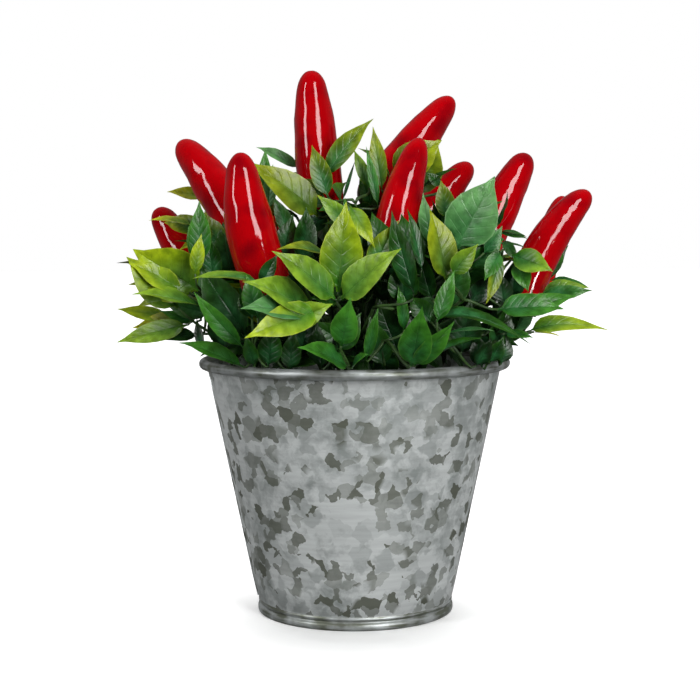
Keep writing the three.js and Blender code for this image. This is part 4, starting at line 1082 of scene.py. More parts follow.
def moulded_leaf(tint):
    """Polyethylene leaf with printed colour: the eye sees it dark at its base and lighter to the tip and the
    edge, with pale pressed veins about 3 mm apart and a satin skin that puckers between them. The pale line
    along the edge is painted light."""
    base, tip, vein = (paint(f"leaf_{tint}_{part}") for part in ("base", "tip", "vein"))
    material, tree, shader, place = new_material(f"polyethylene_leaf_printed_{tint}")
    pattern = parts_of(tree, add_node(tree, "ShaderNodeUVMap", uv_map="leaf").outputs[0])
    tone = parts_of(tree, add_node(tree, "ShaderNodeUVMap", uv_map="tone").outputs[0])
    across = maths(tree, "ABSOLUTE", maths(tree, "MULTIPLY_ADD", pattern[0], 2.0, -1.0))
    along, brightness, ripeness = pattern[1], tone[0], tone[1]
    clouds = cloudiness(tree, place, 300, 4)
    veins, wave = leaf_veins(tree, across, along)
    # Printing runs from the base colour to the tip's. The leaf's own tone moves the change along it.
    cloudy = maths(tree, "MULTIPLY_ADD", clouds, 0.8, along)
    ripe = maths(tree, "MULTIPLY_ADD", ripeness, 0.5, cloudy)
    edged = maths(tree, "MULTIPLY_ADD", across, 0.22, ripe)
    printed = blended(tree, ranged(tree, edged, (0.72, 1.75)), (0.0, base), (1.0, tip))
    # A second pass leaves a bluish heart over the lower middle of the leaf
    hearted = mixed(tree, leaf_heart(tree, across, along, clouds, ripeness), printed, paint("leaf_heart"))
    # Painted shade: the leaf's brightness darkens the leaves in the heart of the crown
    shade = ranged(tree, brightness, end=(0.42, 1.1))
    value = maths(tree, "MULTIPLY", shade, ranged(tree, clouds, (0.35, 0.65), (0.78, 1.2)))
    toned = add_node(tree, "ShaderNodeHueSaturation", {"Value": value, "Color": hearted}).outputs[0]
    # Painted light: the trimmed edge is thin and lets light through, so a pale line is painted along it. The
    # pale veins of the print are added to the same mask.
    pale = maths(tree, "MULTIPLY_ADD", veins, 0.17, ranged(tree, across, VEINS["edge"]))
    colour = mixed(tree, maths(tree, "MULTIPLY", pale, 0.42), toned, vein)
    pucker = maths(tree, "MULTIPLY_ADD", wave, 0.4, clouds)
    height = maths(tree, "MULTIPLY_ADD", veins, VEINS["relief"], pucker)
    feed(tree, shader, {"Base Color": colour, "Roughness": ranged(tree, clouds, end=(0.24, 0.42)),
                        "Specular IOR Level": 0.4, "Normal": relief(tree, height, 0.45, 0.0005)})
    return material


def white_floor():
    """Matt white paper sweep with painted light: it glows for the camera alone, so it shows white, and the
    glow fades near the pot so that the plant's soft shadow shows there.
    """
    material, tree, shader, place = new_material("matt_white_paper_painted_glow")
    colour = mixed(tree, cloudiness(tree, place, 60, 2), paint("paper"), WHITE)
    seen = add_node(tree, "ShaderNodeLightPath").outputs["Is Camera Ray"]
    apart = add_node(tree, "ShaderNodeVectorMath", {0: place, 1: FLOOR_GLOW["middle"]},
                     operation="DISTANCE").outputs["Value"]
    glow = maths(tree, "MULTIPLY", seen, ranged(tree, apart, FLOOR_GLOW["distance"], FLOOR_GLOW["strength"]))
    feed(tree, shader, {"Base Color": colour, "Roughness": 0.9, "Emission Color": WHITE,
                        "Emission Strength": glow})
    return material


def spun(profile, sides):
    """A closed shape turned round +Z from a profile of radius and height."""
    bm = bmesh.new()
    verts = [bm.verts.new((radius, 0, height)) for radius, height in profile]
    edges = [bm.edges.new(pair) for pair in zip(verts, verts[1:])]
    bmesh.ops.spin(bm, geom=verts + edges, cent=(0, 0, 0), axis=(0, 0, 1), angle=2 * math.pi, steps=sides,
                   use_merge=True)
    bmesh.ops.remove_doubles(bm, verts=bm.verts, dist=SAME_PLACE)
    bmesh.ops.recalc_face_normals(bm, faces=bm.faces)
    return bm


def places_of(bm):
    return np.array([vert.co for vert in bm.verts])


def set_places(bm, places):
    for vert, place in zip(bm.verts, places.tolist()):
        vert.co = place


def rows_made_one_long(rows):
    return rows / np.sqrt((rows ** 2).sum(1))[:, None]


def bend_onto(bm, curve):
    """Moves a shape that stands on +Z from 0 to 1 onto a curve, with its X and Y kept square to the curve."""
    local = places_of(bm)
    share = np.clip(local[:, 2], 0, 1)
    small = 0.001
    ahead, behind = curve.at(np.minimum(share + small, 1)), curve.at(np.maximum(share - small, 0))
    tangent = rows_made_one_long(ahead - behind)
    chord = unit(curve.at(1)[0] - curve.at(0)[0])
    guide = vector(1, 0, 0) if abs(chord[2]) > UPRIGHT else vector(0, 0, 1)
    front = rows_made_one_long(guide - tangent * (tangent @ guide)[:, None])
    side = np.cross(front, tangent)
    set_places(bm, curve.at(share) + side * local[:, :1] + front * local[:, 1:2])
    return bm


def round_limb(curve, radius_at, sides, rows):
    """A limb along a curve, with closed ends."""
    shares = [i / rows for i in range(rows + 1)]
    profile = [(0, 0), *((radius_at(share), share) for share in shares), (0, 1)]
    return bend_onto(spun(profile, sides), curve)


def add_to(whole, part):
    """Joins a shape into another."""
    scratch = bpy.data.meshes.new("scratch")
    part.to_mesh(scratch)
    part.free()
    whole.from_mesh(scratch)
    bpy.data.meshes.remove(scratch)


def add_object(name, data):
    thing = bpy.data.objects.new(name, data)
    bpy.context.scene.collection.objects.link(thing)
    return thing


def add_piece(name, bm, materials, replaces):
    """A finished piece: millimetres to metres, smooth faces, riding on the plant's one body."""
    bmesh.ops.scale(bm, vec=(MM, MM, MM), verts=bm.verts)
    mesh = bpy.data.meshes.new(name)
    bm.to_mesh(mesh)
    bm.free()
    mesh.shade_smooth()
    for material in materials:
        mesh.materials.append(material)
    piece = add_object(name, mesh)
    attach(piece, BODY)
    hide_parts(*replaces)
    return piece


# The leaf's own outline: shares of its length, and of its half width there
OUTLINE_ALONG = (0, 0.06, 0.13, 0.23, 0.36, 0.5, 0.64, 0.77, 0.89, 1)
OUTLINE_WIDTH = (0.07, 0.13, 0.56, 0.86, 1.0, 0.98, 0.82, 0.52, 0.19, 0.012)
LEAF_HALF_COLUMNS = 2
# Bending that a moulded leaf adds to its pose, as shares of its length or half width
LEAF_BEND = {
    "droop": 0.07, "sweep": 0.05, "twist": 0.35, "wave": 0.09, "cup": 0.12, "waves": 1.6, "narrow": 0.88,
    "hook": 0.05, "placed": 0.4, "half_offset": 0.25,
}
# The leaf's bake map holds its two skins side by side, with a margin round each
BAKE = {"margin": 0.02, "width": 0.46, "height": 0.96, "lower_skin": 0.5}
# How yellow a leaf is: the shares of its spray's chance and its own, and what a millimetre of height, of
# distance to the left and of distance from the crown's middle adds
RIPE = {
    "spray": 0.75, "own": 0.25, "start": -0.63, "per_height": 0.3 / 90, "per_left": 0.2 / 100,
    "per_reach": 0.6 / 95,
}
# Tints by ripeness: below which, one tint, how often it is dealt, and the other
TINT_STEPS = ((0.45, "deep", 1, "deep"), (0.72, "mint", 0.25, "mid"), (0.95, "olive", 0.4, "fresh"),
              (math.inf, "lime", 0.6, "gold"))
# Placed leaves in the yellow tints are ripe at least this far
PLACED_RIPENESS = {"lime": 0.45, "gold": 0.6}
# Painted shade: a leaf in the heart of the crown is given a darker colour where shade falls among the leaves,
# and a grown leaf never gets as bright as a placed one. A share along the leaf, where the heart ends, how far
# the change reaches, the brightest that a grown leaf gets, and how much is left to chance
CROWN_SHADE = {"along": 0.6, "heart": 38, "reach": 38, "most": 0.88, "chance": 0.25}
# Keys of the leaf's own look
LOOK_KEY, SHADE_KEY, RIPE_KEY, TINT_KEY, BEND_KEY = 7, 201, 202, 203, 210


def leaf_shape(thickness):
    """A flat leaf of two skins that meet at its edge. X is -1 to 1 across, and Y is the share along."""
    bm = bmesh.new()
    pattern = bm.loops.layers.uv.new("leaf")
    bake = bm.loops.layers.uv.new("OFBake")
    rows = len(OUTLINE_ALONG) - 1
    bmesh.ops.create_grid(bm, x_segments=2 * LEAF_HALF_COLUMNS, y_segments=rows, size=1)
    for vert in bm.verts:
        row = round((vert.co.y + 1) / 2 * rows)
        vert.co.y = OUTLINE_ALONG[row]
        vert.co.z = 0 if vert.is_boundary else thickness / 2
    for edge in bm.edges:
        on_rib = all(abs(vert.co.x) < SAME_PLACE for vert in edge.verts)
        edge.smooth = not (on_rib or edge.is_boundary)
    upper = bm.faces[:]
    copied = bmesh.ops.duplicate(bm, geom=bm.verts[:] + bm.edges[:] + upper)["geom"]
    lower = [part for part in copied if isinstance(part, bmesh.types.BMFace)]
    lower_verts = [part for part in copied if isinstance(part, bmesh.types.BMVert)]
    bmesh.ops.reverse_faces(bm, faces=lower)
    for vert in lower_verts:
        vert.co.z *= -1
    for faces, start in ((upper, 0.0), (lower, BAKE["lower_skin"])):
        for face in faces:
            for loop in face.loops:
                across, along = (loop.vert.co.x + 1) / 2, loop.vert.co.y
                loop[pattern].uv = (across, along)
                loop[bake].uv = (start + BAKE["margin"] + BAKE["width"] * across,
                                 BAKE["margin"] + BAKE["height"] * along)
    bmesh.ops.remove_doubles(bm, verts=bm.verts, dist=SAME_PLACE)
    return bm


def leaf_surface(leaf, flat, keys):
    """Where the points of the flat leaf lie on this leaf. A placed leaf keeps nearer to its pose."""
    across, along, off = flat.T
    width = leaf.half_width * np.interp(along, OUTLINE_ALONG, OUTLINE_WIDTH)
    droop = leaf.droop
    own_way = LEAF_BEND["placed"]
    if leaf.tint is None:
        width = width * LEAF_BEND["narrow"]
        droop += spread(LEAF_BEND["droop"], *keys, BEND_KEY)
        own_way = 1
    edge = np.abs(across)
    start = chance(*keys, BEND_KEY + 1) + LEAF_BEND["half_offset"] * np.sign(across)
    wave = LEAF_BEND["wave"] * np.sin((along * LEAF_BEND["waves"] + start) * 2 * math.pi)
    lift = width * (LEAF["fold"] * edge - LEAF_BEND["cup"] * edge ** 2 + wave * edge ** 2)
    lift = lift - droop * leaf.length * along ** 2 - LEAF_BEND["hook"] * leaf.length * along ** 8
    sweep = own_way * spread(LEAF_BEND["sweep"], *keys, BEND_KEY + 2) * leaf.length
    aside = across * width + sweep * along ** 2
    turn = own_way * spread(LEAF_BEND["twist"], *keys, BEND_KEY + 3) * along ** 2
    lift = lift + across * width * turn
    return (leaf.root + np.multiply.outer(along * leaf.length, leaf.aim)
            + np.multiply.outer(aside, leaf.side) + np.multiply.outer(lift + off, leaf.face))


def tint_of(leaf, keys):
    """Which printed tint a leaf gets: by its spray, yellower at the top, at the left and at the tips."""
    names = list(LEAF_TINTS)
    if leaf.tint:
        return names.index(leaf.tint)
    tip = leaf.root + leaf.aim * leaf.length
    ripeness = RIPE["spray"] * chance(*leaf.spray, TINT_KEY) + RIPE["own"] * chance(*keys, TINT_KEY + 1)
    ripeness += RIPE["start"] + RIPE["per_height"] * (tip[2] - CROWN[2]) - RIPE["per_left"] * tip[0]
    ripeness += RIPE["per_reach"] * length_of(tip - CROWN)
    _, one, often, other = next(step for step in TINT_STEPS if ripeness < step[0])
    return names.index(one if chance(*leaf.spray, TINT_KEY + 2) < often else other)


def tone_of(leaf, keys):
    """How bright a leaf is, darkened by painted shade in the crown's heart, and how ripe, each from 0 to 1.
    """
    bright = 1
    if not leaf.tint:
        middle = leaf.root + leaf.aim * (leaf.length * CROWN_SHADE["along"])
        from_heart = (length_of(middle - CROWN) - CROWN_SHADE["heart"]) / CROWN_SHADE["reach"]
        bright = CROWN_SHADE["most"] * min(max(from_heart, 0), 1)
    least = PLACED_RIPENESS.get(leaf.tint, 0)
    return (bright * (1 - CROWN_SHADE["chance"] + CROWN_SHADE["chance"] * chance(*keys, SHADE_KEY)),
            chance(*keys, RIPE_KEY) * (1 - least) + least)


def set_uvs(mesh, layer, values):
    mesh.uv_layers[layer].data.foreach_set("uv", np.asarray(values, np.float32).ravel())


def uvs_of(mesh, layer):
    values = np.zeros(len(mesh.loops) * 2, np.float32)
    mesh.uv_layers[layer].data.foreach_get("uv", values)
    return values.reshape(-1, 2)


def add_leaves(own, leaves, materials):
    """One mass's leaves as one piece. Each leaf has its own square of the bake map."""
    name = MASSES[own][0]
    pattern = leaf_shape(size("leaf_thickness"))
    flat = places_of(pattern)
    corners = sum(len(face.verts) for face in pattern.faces)
    faces = len(pattern.faces)
    template = bpy.data.meshes.new("leaf_shape")
    pattern.to_mesh(template)
    pattern.free()
    whole = bmesh.new()
    for _ in leaves:
        whole.from_mesh(template)
    keyed = [(leaf, (own, LOOK_KEY, i)) for i, leaf in enumerate(leaves)]
    set_places(whole, np.concatenate([leaf_surface(leaf, flat, keys) for leaf, keys in keyed]))
    whole.loops.layers.uv.new("tone")
    mesh = add_piece(f"leaves_{name}", whole, materials, [f"leaf_mass_{name}"]).data
    bpy.data.meshes.remove(template)
    squares = math.ceil(math.sqrt(len(leaves)))
    square = np.array([(i % squares, i // squares) for i in range(len(leaves))])
    set_uvs(mesh, "OFBake", (uvs_of(mesh, "OFBake") + np.repeat(square, corners, 0)) / squares)
    # The tone map carries each leaf's painted shade and its ripeness
    set_uvs(mesh, "tone", np.repeat(np.array([tone_of(*pair) for pair in keyed]), corners, 0))
    tints = np.array([tint_of(*pair) for pair in keyed], np.int32)
    mesh.polygons.foreach_set("material_index", np.repeat(tints, faces))


# How much of its width a fruit loses towards its tip, and the ones that come to a finer point
FRUIT_TAPER = 0.5
FRUIT_TAPERS = {2: 0.54, 3: 0.6, 5: 0.58, 6: 0.56}
# Shares of a fruit's length: how long its round foot is, and where its nose and its taper start
FRUIT_SHAPE = {"foot": 0.14, "nose": 0.88, "nose_bluntness": 2.5, "taper": 0.35, "taper_power": 2.2}
FRUIT_MESH = {"sides": 32, "rows": 34}
# Flats and dents in a fruit's skin, as a share of its width, and the finer ones over them
DENTS = {"depth": 0.045, "size": 7, "along": 7, "apart": 3.7, "finer": 2.7, "finer_share": 0.35}
# The green cup: its hem, rings and inside as shares of the fruit's length, and how far it stands off, in mm
CUP = {"rings": (0.004, 0.02, 0.045, 0.07, 0.1), "hem": 0.1, "inside": 0.06, "stand": 0.35, "lobes": 5,
       "lobe_length": 0.03, "sides": 20}


def fruit_width(share, taper=FRUIT_TAPER):
    """A fruit's radius at a share of its length, as a share of its thickest: full low down, then tapering."""
    foot = math.sqrt(1 - (1 - min(share / FRUIT_SHAPE["foot"], 1)) ** 2)
    on_nose = max(share - FRUIT_SHAPE["nose"], 0) / (1 - FRUIT_SHAPE["nose"])
    nose = max(0, 1 - on_nose ** FRUIT_SHAPE["nose_bluntness"]) ** (1 / FRUIT_SHAPE["nose_bluntness"])
    on_taper = max(share - FRUIT_SHAPE["taper"], 0) / (1 - FRUIT_SHAPE["taper"])
    return foot * nose * (1 - taper * on_taper ** FRUIT_SHAPE["taper_power"])


def fruit_body(curve, radius, number):
    """A fruit bent onto its curve, with a few flats and dents in its skin."""
    rows = FRUIT_MESH["rows"]
    shares = [0.5 - 0.5 * math.cos(math.pi * i / rows) for i in range(rows + 1)]
    taper = FRUIT_TAPERS.get(number, FRUIT_TAPER)
    bm = spun([(radius * fruit_width(share, taper), share) for share in shares], FRUIT_MESH["sides"])
    places = places_of(bm)
    for i, (x, y, share) in enumerate(places):
        up = share * DENTS["along"] + number * DENTS["apart"]
        spot = Vector((x / DENTS["size"], y / DENTS["size"], up))
        dent = noise.noise(spot) + DENTS["finer_share"] * noise.noise(spot * DENTS["finer"])
        places[i, :2] *= 1 + DENTS["depth"] * dent
    set_places(bm, places)
    return bend_onto(bm, curve)


def calyx(curve, radius):
    """The green cup on a fruit's foot, with a lobed hem. Its inside lies within the fruit."""
    hem, stand = CUP["hem"], CUP["stand"]
    outside = [(radius * fruit_width(share) + stand, share) for share in CUP["rings"]]
    bm = spun([(0, 0), *outside, (radius * fruit_width(hem) - stand, hem), (0, CUP["inside"])], CUP["sides"])
    places = places_of(bm)
    turn = np.arctan2(places[:, 1], places[:, 0])
    places[:, 2] += CUP["lobe_length"] * np.clip(places[:, 2] / hem, 0, 1) ** 2 * np.cos(CUP["lobes"] * turn)
    set_places(bm, places)
    return bend_onto(bm, curve)


# The pot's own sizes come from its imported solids, in millimetres
WALL_BOX, FOOT_BOX, FOAM_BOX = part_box("pot_wall"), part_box("pot_base"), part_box("foam_plug")
BEAD_RADIUS = 2.0
BEAD_MIDDLE = WALL_BOX[1].x / MM - BEAD_RADIUS
BEAD_HEIGHT = WALL_BOX[1].z / MM - BEAD_RADIUS
FOOT_RADIUS = FOOT_BOX[1].x / MM
FOOT_HEIGHT = FOOT_BOX[1].z / MM
WALL_FOOT = WALL_BOX[0].z / MM
# The wall's radius at its foot and at the bead's height, as the source has them
WALL_FOOT_RADIUS, WALL_TOP_RADIUS = 39.2, 59.1
WALL_GAIN = (WALL_TOP_RADIUS - WALL_FOOT_RADIUS) / (BEAD_HEIGHT - WALL_FOOT)
FOAM_RADIUS = FOAM_BOX[1].x / MM
# How the pot's spun profile is shaped: its rows, the bead's turn in degrees, the dents, how the wall is
# tucked in above the foot, and how far the rolled edges reach from the bead's middle and the wall's foot
POT = {
    "steps": 144, "bead_start": -140, "bead_end": 150, "bead_steps": 14, "wall_rows": 12, "wall_inset": 0.4,
    "dent": 0.12, "dent_size": 26, "dent_low": 3, "dent_high": 2, "tuck": 0.45, "tuck_height": 14,
    "rolled_low": 2.2, "rolled_high": 2.4, "wall_low": 2.6, "wall_high": 1.9, "floor": 1.6, "floor_inset": 3,
    "inside_heights": (80, 40, 6), "inside_top": 0.5,
}
SEAM = {"turn": 184, "sink": 0.4, "rows": 10, "low": 6.5, "high": 97.5, "rounding": 0.12, "least_rise": 0.5}
FOAM = {
    "sides": 96, "rings": 26, "bottom": 1.9, "bottom_inset": 2.6, "waist": 8, "waist_inset": 1.4,
    "stand": 0.2, "side_gap": 0.2, "edge_depth": 1, "skin_depth": 0.5, "lumps": ((0.35, 5), (0.3, 1.9)),
}


def wall_radius(height):
    """The outside of the pot's wall, drawn in a little just above the foot."""
    tuck = POT["tuck"] * max(0, 1 - (height - WALL_FOOT) / POT["tuck_height"]) ** 2
    return FOOT_RADIUS - POT["wall_inset"] + WALL_GAIN * (height - WALL_FOOT) - tuck


def pot_profile():
    """From the middle of the underside up the outside, over the rolled rim and down the inside."""
    foot = FOOT_RADIUS
    # Each point: how far in from the foot's edge, and its height
    ring = ((0.7, 0), (0.2, 0.2), (0, 0.7),
            (0, FOOT_HEIGHT - 0.9), (0.2, FOOT_HEIGHT - 0.4), (0.8, FOOT_HEIGHT))
    groove = ((1.0, 0), (0.8, 0.4), (0.35, 0.7), (0.25, 1.2), (0.35, 1.7), (0.65, 2.0))
    profile = [(0, 0), *((foot - inset, height) for inset, height in ring)]
    profile += [(foot - inset, WALL_FOOT + rise) for inset, rise in groove]
    low, high = WALL_FOOT + POT["wall_low"], BEAD_HEIGHT - POT["wall_high"]
    for i in range(POT["wall_rows"] + 1):
        height = low + (high - low) * i / POT["wall_rows"]
        profile.append((wall_radius(height), height))
    for i in range(POT["bead_steps"] + 1):
        turn = (POT["bead_start"] + (POT["bead_end"] - POT["bead_start"]) * i / POT["bead_steps"]) * DEGREE
        profile.append((BEAD_MIDDLE + BEAD_RADIUS * math.cos(turn),
                        BEAD_HEIGHT + BEAD_RADIUS * math.sin(turn)))
    for height in (BEAD_HEIGHT - POT["inside_top"], *POT["inside_heights"]):
        profile.append((wall_radius(height) - size("sheet"), height))
    return [*profile, (foot - POT["floor_inset"], POT["floor"]), (0, POT["floor"])]


def make_pot():
    bm = spun(pot_profile(), POT["steps"])
    for vert in bm.verts:
        x, y, z = vert.co
        if WALL_FOOT + POT["dent_low"] < z < BEAD_HEIGHT - POT["dent_high"]:
            push = 1 + POT["dent"] * noise.noise(vert.co / POT["dent_size"]) / wall_radius(z)
            vert.co = (x * push, y * push, z)
    for face in bm.faces:
        height = face.calc_center_median().z
        plain = WALL_FOOT + POT["rolled_low"] <= height <= BEAD_HEIGHT - POT["rolled_high"]
        face.material_index = 0 if plain else 1
    sheet = mottled_zinc()
    add_piece("zinc_pot", bm, [sheet, rolled_zinc()], ["pot_wall", "pot_base"])
    make_seam(sheet)


def upright_edges(bm):
    """The edges that run up a block one high."""
    return [edge for edge in bm.edges if abs(edge.verts[0].co.z - edge.verts[1].co.z) > SEAM["least_rise"]]


def make_seam(sheet):
    """The lapped side seam of the pot's sheet, a flat band that stands a sheet's thickness proud."""
    bm = bmesh.new()
    bmesh.ops.create_cube(bm, size=1)
    bmesh.ops.bevel(bm, geom=upright_edges(bm), offset=SEAM["rounding"], offset_type="OFFSET", affect="EDGES",
                    segments=2, profile=0.5, material=-1)
    bmesh.ops.subdivide_edges(bm, edges=upright_edges(bm), cuts=SEAM["rows"], use_grid_fill=True)
    for vert in bm.verts:
        height = SEAM["low"] + (SEAM["high"] - SEAM["low"]) * (vert.co.z + 0.5)
        base = wall_radius(height)
        radius = base - SEAM["sink"] + (SEAM["sink"] + size("seam_stand")) * (vert.co.y + 0.5)
        turn = SEAM["turn"] * DEGREE - vert.co.x * size("seam_width") / base
        vert.co = (radius * math.cos(turn), radius * math.sin(turn), height)
    add_piece("pot_side_seam", bm, [sheet], ["pot_wall"])


def make_foam():
    """The foam block, with a lumpy top. The rings across its top give the lumps their points."""
    top = PLUG_TOP + FOAM["stand"]
    rings = [(FOAM_RADIUS * (1 - i / FOAM["rings"]), top) for i in range(FOAM["rings"] + 1)]
    bottom, waist = FOAM["bottom"], FOAM["waist"]
    bm = spun([(0, bottom), (FOOT_RADIUS - FOAM["bottom_inset"], bottom),
               (wall_radius(waist) - FOAM["waist_inset"], waist),
               (FOAM_RADIUS - FOAM["side_gap"], top - FOAM["edge_depth"]), *rings], FOAM["sides"])
    for vert in bm.verts:
        if vert.co.z > top - FOAM["skin_depth"]:
            lump = sum(deep * noise.noise(vert.co / wide) for deep, wide in FOAM["lumps"])
            vert.co.z += FOAM["stand"] + lump
    add_piece("foam_filling", bm, [rough_foam()], ["foam_plug"])


# How limbs are made: sides, rows and what shapes their radius, in millimetres. The last three are sides and
# rows.
TRUNK = {"sides": 20, "rows": 24, "ribs": 7, "rib": 0.05, "rib_turn": 0.12, "knots": 1.1, "knot": 0.03}
BOUGH_RIB = {"sides": 8, "rows": 14, "depth": 0.12, "waves": 26}
STEM_MESH, STALK_MESH, TWIG_MESH = (7, 4), (6, 4), (6, 5)
MASS_NAMES = [mass[0] for mass in MASSES]


def make_trunk_and_boughs(growth, bark):
    trunk = round_limb(growth.trunk, lambda share: STEM["foot"] + (STEM["top"] - STEM["foot"]) * share,
                       TRUNK["sides"], TRUNK["rows"])
    places = places_of(trunk)
    height = places[:, 2].copy()
    turn = np.arctan2(places[:, 1], places[:, 0])
    middle = growth.trunk.at(np.clip((height - PLUG_TOP - GAP) / STEM["height"], 0, 1))[:, :2]
    grow = 1 + TRUNK["rib"] * np.cos(TRUNK["ribs"] * turn + TRUNK["rib_turn"] * height)
    grow += TRUNK["knot"] * np.sin(height * TRUNK["knots"] + 2 * turn)
    places[:, :2] = middle + (places[:, :2] - middle) * grow[:, None]
    places[:, 2] = np.maximum(height, PLUG_TOP + GAP)
    set_places(trunk, places)
    add_piece("stem_ribbed", trunk, [bark], ["main_stem"])
    whole = bmesh.new()
    for curve, root in growth.boughs:
        add_to(whole, round_limb(curve, lambda share: root + (BOUGH["tip"] - root) * share
                                 + BOUGH_RIB["depth"] * math.sin(share * BOUGH_RIB["waves"]),
                                 BOUGH_RIB["sides"], BOUGH_RIB["rows"]))
    add_piece("boughs_ribbed", whole, [bark], [f"bough_{name}" for name in MASS_NAMES])


def make_twigs(growth, bark):
    """The masses' stems, their stalks and the placed leaves' twigs, each thinner towards its tip."""
    limbs = [(stem, TWIG["stem"], TWIG["stem_tip"], STEM_MESH) for stem in growth.stems]
    limbs += [(stalk["curve"], TWIG["tip"], TWIG["stalk_tip"], STALK_MESH) for _, stalk in growth.stalks]
    limbs += [(twig, size("twig_root"), size("twig_tip"), TWIG_MESH) for twig in growth.twigs]
    whole = bmesh.new()
    for curve, thick, thin, mesh in limbs:
        add_to(whole, round_limb(curve, lambda share: thick + (thin - thick) * share, *mesh))
    add_piece("twigs", whole, [bark], [f"leaf_mass_{name}" for name in MASS_NAMES])


def stalk_radius(share):
    """A fruit's stalk widens where it meets the fruit."""
    flare = STALK["flare"] * max(0, share - STALK["flare_start"]) / (1 - STALK["flare_start"])
    return STALK["radius"] * (STALK["slimmer"] + flare)


def make_fruit(growth, bark):
    skin = lacquered_fruit()
    green = bmesh.new()
    names = [f"{number:02d}" for number in range(1, len(CHILLIES) + 1)]
    for number, (name, (curve, radius, stalk)) in enumerate(zip(names, growth.fruit), 1):
        add_piece(f"fruit_{name}", fruit_body(curve, radius, number), [skin], [f"chilli_{name}"])
        add_to(green, calyx(curve, radius))
        add_to(green, round_limb(stalk, stalk_radius, STALK["sides"], STALK["rows"]))
    add_piece("fruit_stalks_and_calyxes", green, [bark], [f"chilli_{name}" for name in names])


def make_leaves(growth):
    materials = [moulded_leaf(tint) for tint in LEAF_TINTS]
    for own, leaves in growth.leaves.items():
        add_leaves(own, leaves, materials)


# Soft boxes: name, place, size across and up, power and what they point at, in metres and watts
LIGHTS = (
    ("key_softbox", (0.5, -1.0, 0.65), (0.42, 0.9), 12, (0, 0, 0.12)),
    ("low_softbox", (0.42, -0.66, 0.06), (0.12, 0.14), 1.5, (0, 0, 0.05)),
    ("strip_softbox", (-0.95, -0.65, 0.55), (0.24, 0.9), 7, (0, 0, 0.12)),
)
OVERHEAD = {"strength": 1.6, "spread": 80, "from_behind": 22}
# Painted light: the sweep glows for the camera alone, so that it shows white while little light comes back
# from it. The glow fades towards a point in front of the pot, where the plant's soft shadow shows. The
# strength runs from that middle outwards, over a distance in metres.
FLOOR_GLOW = {"middle": (0, -0.03, 0), "distance": (0.024, 0.1), "strength": (0.0, 0.6)}
# The room shows white. The light that it gives comes from behind the plant more than from the camera's side.
WORLD = {"seen": 1.0, "range": (-0.3, 0.8), "light": (0.06, 0.5), "mirrored": 0.3}
FLOOR_SIZE = 6


def make_floor():
    bm = bmesh.new()
    bmesh.ops.create_grid(bm, x_segments=4, y_segments=4, size=FLOOR_SIZE)
    mesh = bpy.data.meshes.new("paper_floor")
    bm.to_mesh(mesh)
    bm.free()
    mesh.materials.append(white_floor())
    floor = add_object("paper_floor", mesh)
    floor.visible_diffuse = False
    floor.visible_glossy = False


def make_lights():
    for name, place, (across, up), power, target in LIGHTS:
        light = bpy.data.lights.new(name, "AREA")
        light.shape = "RECTANGLE"
        light.size, light.size_y = across, up
        light.energy = power
        lamp = add_object(name, light)
        lamp.location = place
        lamp.rotation_euler = (Vector(target) - Vector(place)).to_track_quat("-Z", "Y").to_euler()
    sun = bpy.data.lights.new("overhead_light", "SUN")
    sun.energy, sun.angle = OVERHEAD["strength"], OVERHEAD["spread"] * DEGREE
    overhead = add_object("overhead_light", sun)
    overhead.rotation_euler = (-OVERHEAD["from_behind"] * DEGREE, 0, 0)
    overhead.visible_glossy = False


def make_world():
    world = bpy.data.worlds.new("white_room")
    world.use_nodes = True
    tree = world.node_tree
    rays = add_node(tree, "ShaderNodeLightPath").outputs
    way = parts_of(tree, add_node(tree, "ShaderNodeTexCoord").outputs["Generated"])
    fill = ranged(tree, way[1], WORLD["range"], WORLD["light"])
    dimmed = maths(tree, "MULTIPLY", fill, WORLD["mirrored"])
    lighting = add_node(tree, "ShaderNodeMix", {0: rays["Is Glossy Ray"], 2: fill, 3: dimmed}).outputs[0]
    strength = add_node(tree, "ShaderNodeMix", {0: rays["Is Camera Ray"], 2: lighting, 3: WORLD["seen"]})
    feed(tree, tree.nodes["Background"], {"Color": WHITE, "Strength": strength.outputs[0]})
    bpy.context.scene.world = world


def make_camera():
    down, roll = CAMERA["down"] * DEGREE, CAMERA["roll"] * DEGREE
    ahead = Vector((0, math.cos(down), -math.sin(down)))
    level = Vector((1, 0, 0))
    above = level.cross(ahead)
    right = level * math.cos(roll) + above * math.sin(roll)
    upward = above * math.cos(roll) - level * math.sin(roll)
    turned = Matrix((right, upward, -ahead)).transposed()
    data = bpy.data.cameras.new("photo_camera")
    data.lens, data.sensor_width = CAMERA["lens"], CAMERA["sensor"]
    camera = add_object("photo_camera", data)
    camera.matrix_world = Matrix.Translation(Vector(CAMERA["place"]) * MM) @ turned.to_4x4()
    bpy.context.scene.camera = camera


def make_stage():
    bpy.context.scene.view_settings.view_transform = "Standard"
    make_floor()
    make_lights()
    make_world()
    make_camera()


def size_property(name):
    label = name.replace("_", " ").capitalize()
    return bpy.props.FloatProperty(
        name=label, description=SIZES[name][1], default=SIZES[name][0] * MM, min=0, precision=5,
        subtype="DISTANCE", unit="LENGTH")


def colour_property(name):
    label = name.replace("_", " ").capitalize()
    return bpy.props.FloatVectorProperty(
        name=label, description=f"{label} colour", subtype="COLOR", size=4, min=0, max=1,
        default=linear(COLOURS[name]))


class ChilliPlantSizes(bpy.types.PropertyGroup):
    __annotations__ = {name: size_property(name) for name in SIZES}


class ChilliPlantColours(bpy.types.PropertyGroup):
    __annotations__ = {name: colour_property(name) for name in COLOURS}


class CHILLIPLANT_OT_stage(bpy.types.Operator):
    """Adds the white floor, the soft boxes and the photograph's camera"""
    bl_idname = "chilliplant.stage"
    bl_label = "Set the Stage"

    def execute(self, context):
        make_stage()
        return {"FINISHED"}


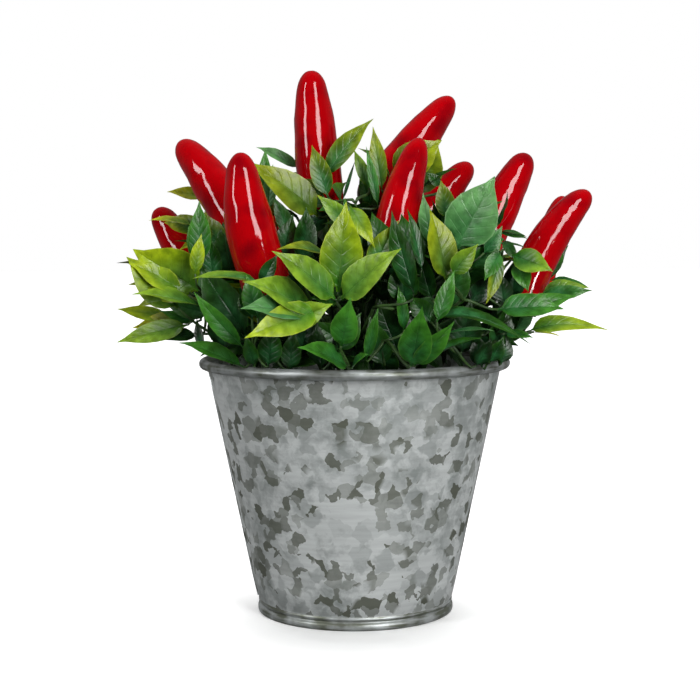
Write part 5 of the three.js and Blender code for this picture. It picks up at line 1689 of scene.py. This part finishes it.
class CHILLIPLANT_OT_pot(bpy.types.Operator):
    """Adds the rolled-rim zinc pot with its side seam"""
    bl_idname = "chilliplant.pot"
    bl_label = "Make the Pot"

    def execute(self, context):
        make_pot()
        return {"FINISHED"}


class CHILLIPLANT_OT_foam(bpy.types.Operator):
    """Adds the foam that fills the pot"""
    bl_idname = "chilliplant.foam"
    bl_label = "Fill the Pot"

    def execute(self, context):
        make_foam()
        return {"FINISHED"}


class CHILLIPLANT_OT_limbs(bpy.types.Operator):
    """Adds the ribbed main stem, the boughs and the twigs"""
    bl_idname = "chilliplant.limbs"
    bl_label = "Grow the Limbs"

    def execute(self, context):
        bark = moulded_stem()
        make_trunk_and_boughs(grown_plant(), bark)
        make_twigs(grown_plant(), bark)
        return {"FINISHED"}


class CHILLIPLANT_OT_fruit(bpy.types.Operator):
    """Adds the lacquered fruit with their calyxes and stalks"""
    bl_idname = "chilliplant.fruit"
    bl_label = "Add the Fruit"

    def execute(self, context):
        make_fruit(grown_plant(), moulded_stem())
        return {"FINISHED"}


class CHILLIPLANT_OT_leaves(bpy.types.Operator):
    """Adds the printed leaves of every mass"""
    bl_idname = "chilliplant.leaves"
    bl_label = "Add the Leaves"

    def execute(self, context):
        make_leaves(grown_plant())
        return {"FINISHED"}


OPERATORS = (CHILLIPLANT_OT_stage, CHILLIPLANT_OT_pot, CHILLIPLANT_OT_foam, CHILLIPLANT_OT_limbs,
             CHILLIPLANT_OT_fruit, CHILLIPLANT_OT_leaves)


class CHILLIPLANT_PT_panel(bpy.types.Panel):
    """Lists the plant's sizes and colours and the operators that make it"""
    bl_idname = "CHILLIPLANT_PT_panel"
    bl_label = "Chilli Plant"
    bl_space_type = "VIEW_3D"
    bl_region_type = "UI"
    bl_category = "Chilli Plant"

    def draw(self, context):
        for name in SIZES:
            self.layout.prop(context.scene.chilli_plant_sizes, name)
        for name in COLOURS:
            self.layout.prop(context.scene.chilli_plant_colours, name)
        for operator in OPERATORS:
            self.layout.operator(operator.bl_idname)


CLASSES = (ChilliPlantSizes, ChilliPlantColours, *OPERATORS, CHILLIPLANT_PT_panel)


def register():
    for cls in CLASSES:
        bpy.utils.register_class(cls)
    bpy.types.Scene.chilli_plant_sizes = bpy.props.PointerProperty(type=ChilliPlantSizes)
    bpy.types.Scene.chilli_plant_colours = bpy.props.PointerProperty(type=ChilliPlantColours)


def unregister():
    del bpy.types.Scene.chilli_plant_colours
    del bpy.types.Scene.chilli_plant_sizes
    for cls in reversed(CLASSES):
        bpy.utils.unregister_class(cls)


def main():
    register()
    bpy.ops.chilliplant.stage()
    bpy.ops.chilliplant.pot()
    bpy.ops.chilliplant.foam()
    bpy.ops.chilliplant.limbs()
    bpy.ops.chilliplant.fruit()
    bpy.ops.chilliplant.leaves()


if __name__ == "__main__":
    main()
